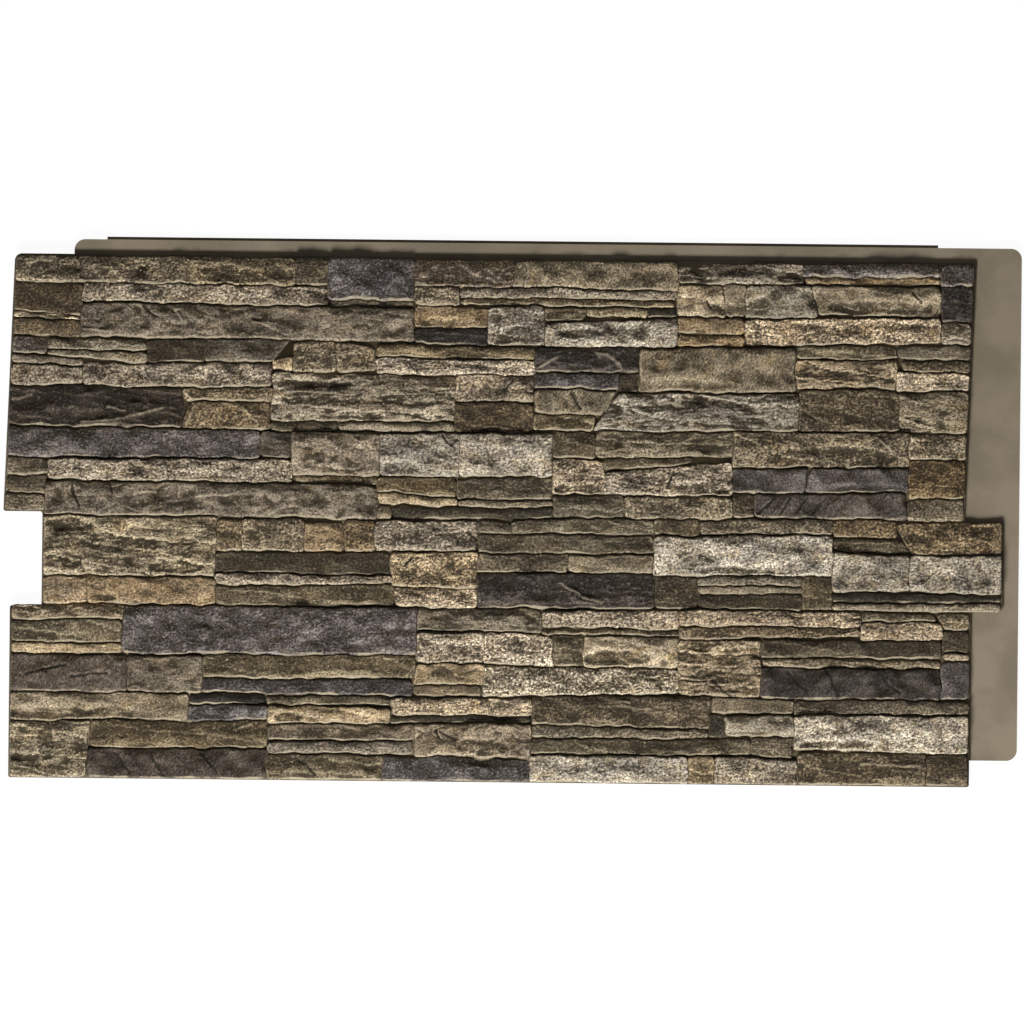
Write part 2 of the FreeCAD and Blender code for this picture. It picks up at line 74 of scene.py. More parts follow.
# The stones from the top course down: finish, how light the paint is, lift of the face above the bed,
# left and right end, lower edge at left and right, upper edge at left and right. Where these aren't
# nought, then: how warm the paint is, how far the lower lip stands out beyond the upper edge, and how far
# the left and the right end lean to the right.
STONES = (
    ("tan pitted", 1, 11, EDGE, 221, 598, 596, EDGE, EDGE, 0, 1),
    ("tan pitted", 1, 12, 223, 347, 596, 596, EDGE, 628, 1, 1),
    ("umber pitted", -1, 8, 350, 388, 596, 597, 628, 628),
    ("slate grain", 1, 14, 390, 491, 580, 580, EDGE, EDGE),
    ("olive smooth", -1, 4, 392, 491, 571, 571, 578, 578),
    ("charcoal cleft", 5, 12, 494, 608, 598, 597, 628, EDGE, 1, 1, 0, 6),
    ("tan grooved", 3, 12, 613, 808, 598, 595, EDGE, 628, 0, 0, 6),
    ("cream cleft", -1, 11, 811, 959, 603, 602, 626, EDGE),
    ("slate grain", 3, 12, 961, 1125, 613, 614, 628, EDGE),
    ("rose smooth", 1, 7, 963, 1125, 602, 604, 611, 612, 1, 1),
    ("slate grain", 0, 11, 1127, EDGE, 604, 604, EDGE, EDGE),

    ("umber pitted", -2, 6, EDGE, 92, 561, 557, 596, 593, 1, 1),
    ("cream pitted", 0, 12, 95, 388, 575, 572, 594, 593),
    ("tan pitted", 1, 11, 494, 547, 575, 574, 596, 595),
    ("cream pitted", -2, 11, 549, 806, 584, 583, 595, 592, 0, -1),
    ("olive smooth", 4, 6, 552, 800, 575, 573, 582, 581, 0, 1),
    ("tan smooth", 3, 12, 811, 867, 564, 563, 601, 601, 0, 0, 0, -5),
    ("tan smooth", 0, 11, 870, 890, 563, 563, 601, 600, 0, 0, -5),
    ("tan smooth", 1, 12, 892, 976, 562, 563, 600, 601, -1, 0, 0, -8),
    ("tan smooth", 0, 11, 979, 1124, 568, 565, 601, 602, 0, -1, -8),
    ("charcoal cleft", -3, 10, 1127, EDGE, 560, 560, 602, 602),

    ("tan smooth", 5, 9, EDGE, 92, 554, 553, 560, 556, 0, 1),
    ("tan pitted", -6, 8, EDGE, 92, 532, 533, 552, 551, 2, -1),
    ("grey smooth", 0, 13, 95, 491, 534, 531, 570, 568, 0, 1),
    ("rose smooth", 0, 11, 495, 578, 547, 547, 571, 570, 1),
    ("charcoal cleft", -5, 8, 496, 580, 529, 526, 544, 544),
    ("cream pitted", 0, 10, 583, 648, 530, 529, 571, 573, -1),
    ("olive smooth", 1, 9, 651, 698, 557, 557, 572, 571),
    ("pale pitted", 0, 13, 652, 806, 526, 527, 551, 559, 0, -1),
    ("olive smooth", 5, 7, 701, 772, 565, 564, 572, 571),
    ("olive smooth", -9, 8, 775, 806, 562, 562, 571, 570),
    ("rose smooth", -1, 11, 811, 888, 543, 542, 561, 561, 1),
    ("rose smooth", 1, 9, 811, 888, 528, 529, 540, 540, 1, 1),
    ("cream pitted", 2, 12, 892, 1124, 530, 535, 559, 563, 1),
    ("cream cleft", 1, 9, 1127, EDGE, 532, 532, 557, 557),

    ("charcoal cleft", 4, 9, EDGE, 51, 511, 511, 529, 529),
    ("tan cleft", 0, 10, 54, 171, 516, 516, 529, 525, -1),
    ("tan cleft", 0, 8, 54, 171, 508, 503, 514, 513, -1),
    ("umber pitted", -5, 7, 174, 241, 503, 503, 526, 527),
    ("grey smooth", -3, 10, 243, 321, 504, 505, 527, 528, 0, 1, 0, 14),
    ("tan smooth", 7, 8, 324, 347, 496, 496, 506, 511, 1),
    ("tan pitted", 0, 11, 350, 398, 496, 496, 526, 527),
    ("tan pitted", 0, 10, 401, 445, 496, 497, 527, 517),
    ("olive smooth", 1, 8, 449, 637, 511, 510, 524, 522, 1),
    ("cream pitted", 3, 12, 448, 637, 492, 491, 508, 507),
    ("charcoal cleft", -2, 13, 641, 761, 496, 496, 521, 522),
    ("tan grooved", 0, 12, 765, 949, 476, 477, 519, 524, 0, -1),
    ("olive smooth", 1, 8, 952, 1072, 514, 514, 528, 528),
    ("tan smooth", -4, 8, 1075, EDGE, 514, 513, 528, 528),
    ("cream cleft", 0, 11, 954, 1072, 478, 479, 511, 511, 1),
    ("umber pitted", 1, 6, 1084, EDGE, 502, 498, 511, 511),
    ("pale pitted", 3, 12, 1075, EDGE, 478, 476, 499, 495, 1),

    ("grey smooth", 1, 8, EDGE, 95, 499, 497, 508, 503),
    ("cream pitted", 0, 10, EDGE, 93, 474, 473, 495, 494),
    ("cream pitted", 0, 11, 96, 319, 473, 473, 498, 499),
    ("cream cleft", 0, 12, 324, 541, 434, 435, 488, 482),
    ("cream pitted", -2, 11, 545, 635, 460, 459, 488, 488, 1),
    ("umber pitted", -2, 10, 544, 636, 422, 422, 456, 455, 1),
    ("slate grain", -1, 10, 641, 738, 477, 476, 491, 492, 0, 1),
    ("tan grooved", 1, 12, 641, 718, 447, 446, 472, 472, 0, 0, 0, 13),
    ("olive smooth", 4, 8, 639, 706, 425, 424, 442, 442, 0, 1, 0, 4),
    ("umber pitted", -6, 5, 742, 762, 472, 474, 490, 492),
    ("cream cleft", 0, 13, 711, 955, 427, 428, 467, 466, -1, 0, 32),
    ("umber pitted", 1, 11, 957, 1075, 428, 429, 473, 475),
    ("tan cleft", 0, 11, 1078, EDGE, 428, 428, 474, 474),

    ("charcoal cleft", -4, 13, EDGE, 213, 428, 425, 471, 470, 1, 1),
    ("tan pitted", 0, 10, 226, 321, 457, 456, 470, 470, 1, 0, -10),
    ("tan pitted", 0, 11, 217, 319, 423, 422, 452, 452, 2, 0, 10),
    ("olive smooth", -2, 5, 322, 402, 422, 422, 431, 431),
    ("tan smooth", -1, 7, 404, 541, 422, 422, 431, 430),

    ("slate grain", 0, 12, EDGE, 307, 388, 388, 420, 419),
    ("grey smooth", -5, 10, 311, 344, 389, 389, 417, 417),
    ("grey smooth", 3, 14, 348, 449, 369, 369, 418, 417),
    ("pale pitted", -1, 12, 456, 547, 369, 368, 416, 418),
    ("pale pitted", 0, 13, 550, 659, 371, 371, 418, 418),
    ("olive smooth", 1, 9, 662, 711, 393, 393, 421, 420),
    ("tan cleft", -2, 10, 715, 875, 394, 395, 421, 421),
    ("tan pitted", 0, 12, 878, 1087, 383, 384, 424, 424, 0, -1),
    ("tan pitted", 3, 10, 1091, EDGE, 396, 395, 421, 421),
    ("umber pitted", 1, 9, 1091, EDGE, 348, 348, 390, 390, 2),

    ("tan pitted", -4, 9, EDGE, 52, 366, 367, 384, 384),
    ("tan cleft", -4, 7, EDGE, 52, 345, 344, 361, 363, 0, 1),
    ("tan pitted", -1, 9, EDGE, 50, 323, 323, 341, 340),
    ("cream pitted", 0, 12, 56, 347, 361, 358, 382, 384),
    ("olive smooth", 3, 4, 352, 449, 358, 358, 366, 365),
    ("grey smooth", 0, 13, 53, 449, 322, 320, 356, 355),
    ("olive smooth", 1, 8, 452, 545, 349, 343, 366, 365, 1),
    ("tan smooth", 2, 9, 452, 545, 334, 333, 346, 340, 1),
    ("tan smooth", -2, 8, 452, 466, 316, 316, 331, 330, 1),
    ("tan cleft", -3, 8, 548, 659, 341, 341, 363, 367),
    ("tan cleft", -2, 8, 548, 659, 332, 332, 338, 338),
    ("olive smooth", -7, 5, 469, 659, 319, 319, 330, 329),
    ("cream pitted", 1, 12, 662, 721, 349, 351, 389, 388, 1),
    ("cream pitted", 1, 12, 725, 876, 349, 349, 373, 387),
    ("olive smooth", 0, 6, 724, 828, 378, 386, 390, 391),
    ("tan cleft", -5, 10, 662, 745, 322, 322, 344, 345),
    ("tan pitted", 0, 11, 748, 875, 322, 322, 343, 343),
    ("slate smooth", 0, 11, 878, 962, 353, 353, 379, 379),
    ("slate smooth", 0, 12, 966, 1087, 354, 355, 380, 381, 0, 0, 10),
    ("umber pitted", -1, 8, 878, 901, 323, 323, 349, 349),
    ("slate cracked", 0, 11, 904, 1085, 324, 323, 349, 351),
    ("tan cleft", 0, 8, 1089, EDGE, 325, 325, 344, 344),

    ("tan cleft", 1, 13, EDGE, 255, 246, 247, 313, 311),
    ("tan pitted", 0, 9, 259, 286, 276, 276, 306, 306, 1),
    ("tan pitted", 0, 11, 290, 361, 278, 277, 309, 309),
    ("rose smooth", 0, 11, 365, 410, 278, 279, 303, 305, 1),
    ("tan pitted", -1, 10, 413, 446, 277, 278, 310, 309, 2),
    ("olive smooth", -5, 6, 258, 465, 251, 248, 273, 273),
    ("cream pitted", 0, 10, 258, 466, 237, 239, 248, 245),
    ("olive smooth", 1, 8, 259, 470, 212, 213, 231, 234),
    ("cream pitted", 0, 12, 450, 569, 280, 281, 311, 313),
    ("tan pitted", -5, 8, 573, 611, 300, 300, 313, 311),
    ("tan cleft", -4, 9, 613, 781, 300, 299, 315, 316),
    ("tan cleft", -4, 8, 572, 781, 278, 278, 296, 296),
    ("tan pitted", -3, 8, 573, 678, 255, 255, 273, 272),
    ("tan smooth", -1, 11, 682, 782, 255, 256, 271, 273),
    ("charcoal cleft", -2, 12, 573, 782, 215, 215, 250, 251),
    ("tan pitted", 3, 13, 469, 570, 237, 235, 272, 273, 1),
    ("cream pitted", 3, 10, 474, 570, 212, 213, 232, 231, 1, 1),
    ("olive smooth", 1, 9, 784, 838, 302, 302, 316, 317),
    ("tan pitted", 0, 9, 841, 996, 303, 304, 316, 319),
    ("pale pitted", 1, 14, 785, 996, 252, 254, 295, 299),
    ("umber pitted", -3, 7, 785, 835, 215, 215, 248, 248),
    ("tan pitted", -3, 9, 838, 960, 240, 241, 249, 250, -1),
    ("tan smooth", -2, 8, 838, 960, 230, 231, 238, 238),
    ("olive smooth", -4, 6, 838, 961, 214, 214, 228, 229),
    ("olive smooth", -1, 8, 964, 996, 214, 215, 251, 251),
    ("tan pitted", -2, 9, 1001, 1073, 301, 300, 318, 319, 2),
    ("olive smooth", 0, 7, 1001, 1090, 284, 282, 297, 297, 0, 0, 0, -12),
    ("tan pitted", 0, 12, 1097, EDGE, 280, 283, 313, EDGE, 2, 0, -19),
    ("pale pitted", -2, 14, 1001, 1089, 235, 238, 280, 276),
    ("pale pitted", 0, 14, 1092, EDGE, 238, 233, 275, 278),
    ("olive smooth", -10, 7, 1001, EDGE, 222, 223, 231, 229),
    ("cream cleft", -2, 7, 1001, EDGE, 213, EDGE, 219, 220),

    ("rose smooth", 1, 9, EDGE, 99, 213, 213, 240, 239),
    ("rose smooth", 0, 11, 102, 254, 213, 213, 241, 241, 1),
    ("cream cleft", 0, 10, EDGE, 146, 192, 193, EDGE, 206, 1),
    ("olive smooth", 1, 9, EDGE, 140, 165, 166, 189, 190),
    ("tan smooth", 1, 9, EDGE, 140, 151, 151, 161, 161, 1),
    ("slate grain", 0, 14, 150, 496, 154, 155, 207, 205),
    ("cream cleft", -5, 9, 501, 648, 184, 181, 204, 204),
    ("cream pitted", 0, 11, 651, 812, 188, 187, 202, 206),
    ("umber pitted", 2, 8, 651, 812, 179, 180, 184, 185, 0, 1),
    ("cream pitted", 0, 11, 817, 1032, 192, 192, 207, 207, 1),
    ("tan pitted", -1, 8, 817, 1032, 176, 182, 189, 190, 1),
    ("umber pitted", 0, 6, 1035, 1117, 199, 200, 209, 207),
    ("cream pitted", 0, 11, 1035, 1129, 178, 177, 196, 197, 1),
    ("tan cleft", 1, 9, 1133, EDGE, 190, 190, 207, 207),
    ("olive smooth", -5, 7, 1133, EDGE, 162, 162, 187, 187),
    ("cream pitted", 1, 13, 501, 578, 147, 146, 177, 177),
    ("cream pitted", 3, 12, 581, 664, 147, 145, 177, 176, 0, 0, 0, -5),
    ("olive smooth", 1, 9, 667, 698, 145, 145, 176, 177, 0, 0, -5),
    ("tan smooth", 2, 12, 701, 812, 145, 145, 177, 177, 0, -1),
    ("cream cleft", 0, 12, 817, 911, 108, 107, 174, 173, 1),
    ("olive smooth", -3, 10, 915, 1129, 155, 156, 173, 173),
    ("tan cleft", 0, 8, 918, 1128, 143, 143, 152, 151),
    ("tan smooth", 1, 8, 1132, EDGE, 152, 152, 159, 159),
    ("slate smooth", 0, 10, 1132, EDGE, 107, 107, 149, 149),
    ("slate cracked", -5, 12, 914, 1128, 106, 105, 140, 140),

    ("slate cracked", 0, 12, EDGE, 150, 106, 106, 148, 147, 1),
    ("grey smooth", -2, 12, 153, 235, 106, 105, 144, 144),
    ("olive smooth", 1, 9, 249, 496, 124, 127, 147, 150, 0, 1),
    ("slate grain", -3, 9, 249, 494, 106, 104, 120, 122),
    ("tan smooth", 0, 11, 500, 578, 119, 119, 139, 139, 1),
    ("tan smooth", -3, 8, 499, 575, 106, 106, 116, 116, 1),
    ("tan pitted", 6, 12, 583, 811, 107, 111, 135, 134, -1),
    ("umber pitted", -1, 11, 641, 849, 72, 68, 103, 104),
    ("tan pitted", -3, 8, 640, 850, 57, 58, 69, 65),
    ("tan smooth", -3, 10, 859, 952, 88, 88, 105, 103),
    ("olive smooth", -6, 5, 853, 869, 60, 60, 85, 85),
    ("tan smooth", 0, 12, 872, 953, 61, 61, 82, 84, -1),
    ("tan pitted", -5, 9, 956, EDGE, 89, 90, 102, 103),
    ("pale pitted", 1, 14, 956, EDGE, 47, 42, 82, 82),

    ("tan smooth", -1, 10, EDGE, 224, 71, 74, 102, 101),
    ("charcoal cleft", -11, 9, 228, 317, 92, 93, 102, 102),
    ("slate grain", -1, 11, 228, 318, 72, 73, 89, 89),
    ("olive smooth", -2, 6, 321, 468, 92, 93, 101, 101),
    ("tan smooth", 2, 13, 322, 467, 69, 71, 89, 86, 1),
    ("cream pitted", 0, 12, 472, 636, 82, 81, 101, 100, 1),
    ("olive smooth", -8, 5, 471, 636, 72, 73, 79, 79),
    ("grey smooth", -1, 10, 322, 496, 50, 51, 66, 68, 1),
    ("cream pitted", -5, 9, 322, 492, 33, 34, 43, 46),
    ("grey smooth", 1, 13, 498, 636, 33, 34, 69, 70, 1),

    ("tan cleft", 1, 12, EDGE, 102, EDGE, EDGE, 67, 67, 0, 0, 0, 4),
    ("olive smooth", 0, 10, 110, 318, 39, 40, 68, 70, 1),
    ("slate cracked", -3, 13, 105, 319, EDGE, EDGE, 35, 36, 1),
    ("olive smooth", 1, 10, 322, 457, EDGE, EDGE, 30, 29),
    ("slate grain", -1, 11, 461, 634, EDGE, EDGE, 29, 25),
    ("pale pitted", 0, 13, 640, 826, EDGE, EDGE, 31, 32),
    ("olive smooth", -1, 8, 640, 900, 38, 38, 52, 53),
    ("tan pitted", -3, 9, 904, 953, 38, 38, 55, 55),
    ("olive smooth", 5, 10, 829, 857, EDGE, EDGE, 33, 32, 1),
    ("cream pitted", -2, 11, 860, 957, EDGE, EDGE, 30, 28),
    ("umber pitted", 1, 10, 961, 1111, EDGE, EDGE, 37, 38),
    ("umber pitted", -2, 9, 1114, EDGE, EDGE, EDGE, 36, 38),
)

# Broken-out hollows, where the dark wash has settled, and raised patches that the dry brush has caught:
# x and y of the middle, half the length and half the height, depth, and tone (-1 dark to 1 light)
HOLLOWS = (
    (60, 613, 28, 7, 2, -0.4), (235, 606, 110, 6, 2, -0.5), (150, 587, 28, 5, -1.2, 0.6),
    (170, 431, 20, 5, 3.5, -1), (30, 408, 26, 8, -1, 0.3), (372, 477, 45, 2.5, 2.5, -0.8),
    (395, 456, 60, 2.5, 2, -0.7), (500, 462, 40, 8, 3, -0.8), (430, 439, 25, 2.5, 2, -0.8),
    (440, 426, 34, 3.5, -1.5, 0.9), (480, 377, 20, 5, 3, -0.7), (650, 458, 8, 9, 2, -0.5),
    (682, 433, 20, 6, 2, -0.7), (820, 480, 60, 3, 1.5, -0.7), (790, 452, 40, 1.5, 2, -0.6),
    (905, 434, 30, 6, 2.5, -0.8), (730, 411, 13, 8, 2.5, -0.7), (768, 407, 24, 7, -1.5, 0.8),
    (850, 409, 25, 9, 2.5, -0.7), (692, 353, 26, 4, 2.5, -0.8), (838, 355, 34, 5, 3, -0.8),
    (742, 354, 12, 4, -1, 0.6), (995, 394, 75, 9, 2.5, -0.8), (905, 405, 25, 12, -1, 0.4),
    (1035, 357, 46, 2.5, 2, -0.6), (600, 578, 42, 2.5, 2.5, -0.7), (735, 579, 42, 4, 3.5, -1),
    (672, 562, 18, 5, 3, -0.8), (620, 538, 24, 7, 2.5, -0.8), (590, 553, 5, 14, 2, -0.6),
    (692, 541, 24, 2.5, 2.5, -0.7), (762, 544, 34, 11, -1.2, 0.6), (832, 612, 18, 7, 2, -0.6),
    (944, 608, 14, 5, 3, -1), (1052, 575, 60, 5, 3, -0.8), (906, 575, 12, 9, 2, -0.6),
    (1085, 605, 34, 2, 1.5, -0.6), (1020, 517, 50, 2.5, 2, -0.7), (75, 262, 20, 8, 3, -0.7),
    (210, 256, 30, 6, 3.5, -0.9), (82, 306, 26, 5, 3, -0.8), (120, 217, 14, 3, 2, -0.6),
    (30, 172, 18, 4, 1, -0.4), (302, 290, 8, 9, 2, -0.4), (370, 268, 90, 3, 1, -0.5),
    (425, 225, 38, 6, 2, -0.6), (400, 215, 30, 2, -1, 0.6), (560, 221, 10, 7, 2, -0.6),
    (530, 191, 26, 7, 2.5, -0.7), (600, 194, 28, 4, -1.2, 0.7), (638, 190, 8, 7, 2, -0.7),
    (705, 308, 26, 5, 2, -0.6), (665, 308, 14, 5, -1.2, 0.6), (755, 288, 24, 6, 2.5, -0.8),
    (702, 288, 22, 3, -1, 0.5), (885, 257, 42, 4, 3.5, -1), (870, 183, 40, 4, 2, -0.7),
    (985, 186, 40, 4, 2, -0.7), (60, 79, 48, 5, 3, -0.8), (132, 78, 26, 4, 2, -0.6),
    (62, 95, 42, 4, -1, 0.5), (55, 44, 7, 18, 2.5, -0.8), (28, 26, 18, 2.5, 3, -0.8),
    (410, 128, 55, 3, -1.5, 0.9), (345, 76, 14, 4, 3, -0.6), (520, 88, 20, 4, 2.5, -0.8),
    (440, 97, 22, 2.5, -1.2, 0.9), (395, 57, 44, 5, 2.5, -0.7), (580, 42, 28, 6, 3, -0.7),
    (472, 61, 16, 5, -1, 0.5), (742, 152, 38, 6, 3, -0.9), (735, 90, 25, 4, 1.5, -0.5),
    (722, 75, 30, 3, -1, 0.8), (838, 168, 16, 4, 3, -0.8), (770, 48, 60, 3, 2, -0.6),
    (665, 47, 18, 3, -1, 0.8), (1005, 50, 42, 3, 3, -0.9), (1090, 52, 9, 8, 1.5, -0.6),
    (1078, 7, 20, 4, -1, 0.9), (1150, 6, 12, 4, -1, 0.8), (985, 98, 20, 3, 2, -0.7),
    (490, 519, 40, 3, -1.5, 1), (560, 560, 14, 7, -1, 0.4), (520, 551, 20, 3, 1.5, -0.5),
    (375, 503, 20, 5, 2, -0.6), (425, 505, 16, 5, 2, -0.5), (370, 522, 18, 4, -1, 0.5),
    (985, 606, 25, 2, -1, 0.8), (735, 606, 30, 6, -0.8, 0.2), (948, 590, 20, 8, -1, 0.5),
    (575, 27, 50, 5, 2.5, -0.8), (745, 222, 28, 4, -1, 0.45), (552, 208, 14, 5, 2, -0.8),
    (890, 607, 30, 6, -1.2, 0.7), (112, 534, 20, 3, -1, 0.7), (66, 338, 5, 8, 1.5, -0.7),
)

# Dark cracks (-1) and pale scratches (1) across a stone: from x, y to x, y
CRACKS = {
    -1: (
        (168, 568, 182, 556), (845, 582, 850, 574), (1093, 595, 1101, 581), (128, 355, 133, 343),
        (528, 416, 538, 404), (538, 404, 545, 411), (683, 470, 695, 452), (800, 358, 806, 375),
        (485, 260, 493, 270), (138, 30, 158, 8), (182, 34, 196, 5), (243, 34, 262, 8),
        (990, 139, 1008, 108), (1055, 139, 1065, 125), (1065, 125, 1080, 112), (945, 136, 970, 115),
        (30, 125, 80, 137), (85, 123, 130, 128), (530, 61, 546, 50), (960, 449, 975, 440),
        (908, 326, 928, 345), (937, 329, 947, 346), (954, 328, 967, 346), (975, 327, 984, 341),
        (355, 26, 380, 8), (560, 300, 572, 290), (600, 470, 612, 482), (812, 124, 850, 125),
        (856, 126, 882, 103), (84, 352, 92, 326), (523, 62, 528, 50),
    ),
    1: (
        (670, 240, 700, 224), (700, 224, 722, 218), (712, 517, 724, 516), (724, 516, 737, 505),
        (737, 505, 741, 498), (216, 469, 228, 457), (221, 427, 230, 449), (287, 449, 305, 428),
        (645, 500, 665, 512), (990, 178, 1028, 186), (1050, 420, 1070, 402), (1076, 443, 1118, 431),
        (1035, 26, 1105, 24), (280, 60, 300, 66), (235, 340, 275, 343), (160, 344, 185, 346),
        (741, 98, 755, 97), (720, 93, 780, 91), (12, 456, 34, 462), (125, 446, 144, 441),
        (95, 428, 135, 430), (135, 430, 165, 439), (165, 439, 192, 446), (96, 541, 128, 538),
        (300, 552, 330, 540), (204, 565, 216, 548),
    ),
}

# The rim of the face, which the stones at the edge keep inside: its top and bottom, the heights of the
# socket at the left and of the tongue at the right, and x of the rim below, beside and above each of them
HEAD, FOOT = 628.7, 1.5
SOCKET, TONGUE = (207.0, 320.0), (212.5, 314.5)
RIMS = ((SOCKET, 11.6, 49.6, 2.4), (TONGUE, 1163.4, 1201.4, 1154.6))
RIM_LEAN = (11, 310)               # above them, how far to the right and over what height
TONGUE_GAP = 0.6                   # from the tongue's edges to its stones
STEP = 206.2                       # top of the stones below the socket


def rim(side, y):
    """x of the rim at the left (side 0) or at the right (side 1), at a height or heights y."""
    heights, below, beside, above = RIMS[side]
    return np.where(y > heights[1], above + RIM_LEAN[0] * (y - SOCKET[1]) / RIM_LEAN[1],
                    np.where(y > heights[0], beside, below))


def corners(left, right, low_left, low_right, high_left, high_right, lean_left=0, lean_right=0):
    """A stone's corners in the layout: lower left, lower right, upper left, upper right."""
    lows, highs = [low_left, low_right], [high_left, high_right]
    middle = [high if low is EDGE else low for low, high in zip(lows, highs)]
    for i in (0, 1):
        y = highs[1 - i] if middle[i] is EDGE else middle[i]
        in_tongue = y is not EDGE and SOCKET[0] < y < SOCKET[1]
        if lows[i] is EDGE:
            lows[i] = TONGUE[0] + TONGUE_GAP if in_tongue else FOOT
        if highs[i] is EDGE:
            highs[i] = TONGUE[1] - TONGUE_GAP if in_tongue else (STEP if lows[i] < SOCKET[0] else HEAD)
    low_x, high_x = [left, right], [left, right]
    for side, lean in enumerate((lean_left, lean_right)):
        if low_x[side] is EDGE:
            low_x[side], high_x[side] = float(rim(side, lows[side] + 1)), float(rim(side, highs[side] - 1))
        high_x[side] += lean
    return (*zip(low_x, lows), *zip(high_x, highs))


OUTLINES = [corners(*row[3:9], *row[11:]) for row in STONES]
SIGNS = ((-1, -1), (1, -1), (-1, 1), (1, 1))    # of x and y at a stone's corners
NEAR, OVERLAP = 18.0, 2.0          # how far off the next stone may be, and how far it may overlap
HALF_JOINT = (-0.2, 0.5)           # kept free between ends, which meet, and between courses


def let_out(points):
    """Lets a stone's corners out over the joints around it, nearly halfway to the nearest stones."""
    moved = []
    for i, (x, y) in enumerate(points):
        beside, above = points[i ^ 1], points[i ^ 2]
        rise = reach = NEAR
        for share in (0.04, 0.2, 0.35, 0.5):
            on_x, on_y = x + (beside[0] - x) * share, y + (beside[1] - y) * share
            at_x, at_y = x + (above[0] - x) * share, y + (above[1] - y) * share
            for other in OUTLINES:
                if other == points:
                    continue
                (x0, y0), (x1, y1), (x2, y2), (x3, y3) = other
                if min(x0, x2) <= on_x <= max(x1, x3):
                    along = min(1, max(0, (on_x - x0) / (x1 - x0)))
                    room = y0 + (y1 - y0) * along - on_y if i > 1 else on_y - y2 - (y3 - y2) * along
                    if room > -OVERLAP:
                        rise = min(rise, room)
                near, far = ((x0, y0), (x2, y2)) if i % 2 else ((x1, y1), (x3, y3))
                if near[1] <= at_y <= far[1]:
                    edge = near[0] + (far[0] - near[0]) * (at_y - near[1]) / (far[1] - near[1])
                    room = edge - at_x if i % 2 else at_x - edge
                    if room > -OVERLAP:
                        reach = min(reach, room)
        reach, rise = (max(0, room / 2 - kept_free) if room < NEAR else 0
                       for room, kept_free in zip((reach, rise), HALF_JOINT))
        moved.append((x + SIGNS[i][0] * reach, y + SIGNS[i][1] * rise))
    return moved


def pick(ob, kind, wanted):
    """In edit mode, selects the verts or the edges of ob for which wanted(element) is true."""
    bm = bmesh.from_edit_mesh(ob.data)
    bpy.ops.mesh.select_all(action="DESELECT")
    for element in getattr(bm, kind):
        if wanted(element):
            element.select_set(True)
    bmesh.update_edit_mesh(ob.data, loop_triangles=False, destructive=False)


def pick_rim():
    """In edit mode, selects the rim of the open mesh."""
    bpy.ops.mesh.select_all(action="SELECT")
    bpy.ops.mesh.region_to_loop()


def press(shift, falloff, reach):
    """In edit mode, moves what is selected and, less and less, what lies within reach of it."""
    bpy.ops.transform.translate(value=[part * MM for part in shift], use_proportional_edit=True,
                                proportional_edit_falloff=falloff, proportional_size=reach * MM)


def divide(ob, length, along):
    """Cuts the stone's face into strips about a cell wide, along x or along y."""
    def crossed(edge):
        run = edge.verts[1].co - edge.verts[0].co
        return abs(run[along]) > abs(run[1 - along])
    cuts = max(2, round(length / (CELL * MM))) - 1
    if cuts > 100:                 # the most that one subdivide makes
        pick(ob, "edges", crossed)
        parts = math.ceil(cuts / 100)
        bpy.ops.mesh.subdivide(number_cuts=parts - 1)
        cuts = round(cuts / parts)
    pick(ob, "edges", crossed)
    bpy.ops.mesh.subdivide(number_cuts=cuts)


# How a stone is shaped, in millimetres
INSET = (1.8, 1.1, 1.2)            # of the face's rim inside the ends, the lower lip and the upper edge
RIM_INSET = 1.5                    # the same at an end at the panel's own rim
CROWN_INSET, CROWN_DROP = 2.5, 4.0 # the same at an upper edge that slopes to the top flange, and its drop
CROWN_HEIGHT = 15                  # only stones higher than this slope away there
RELIEF_ROOM = 5.4                  # the flat face is this much lower, so that its relief reaches the lift
FULL_LIFT, LEAST_LIFT = 12.0, 5.0  # a stone with less lift has shallower relief
FULL_HEIGHT = 11.0                 # a stone with less height has a narrower edge
RIM_DROP, RIM_BEND = 1.1, 12       # how far the face bends down to its rim, and over what width
CORNER_WEAR = (0.4, 3.2)           # least and most that a corner is rounded off
SCOOP_SLOPE = 6                    # width of the slope around a hollow
CRACK_DEPTH, CRACK_HALF = 1.6, 1.1 # of a crack, and half its width
# A stone's edge, ring by ring from the rim of its face outwards and down: how far out at an end, at an
# upper or lower edge and where the panel ends, and how far down
EDGE_RINGS = ((0.9, 0.6, 0.6, 0.5), (0.9, 0.6, 0.6, 1.3), (0.9, 0.7, 0.6, 2.2), (0.9, 0.8, 0.4, 3.0),
              (1.4, 1.6, 0.2, 3.0))
EDGE_RELIEF = (0.95, 0.85, 0.65, 0.4, 0.2, 0)   # share of the face's relief on each ring, and in the bed


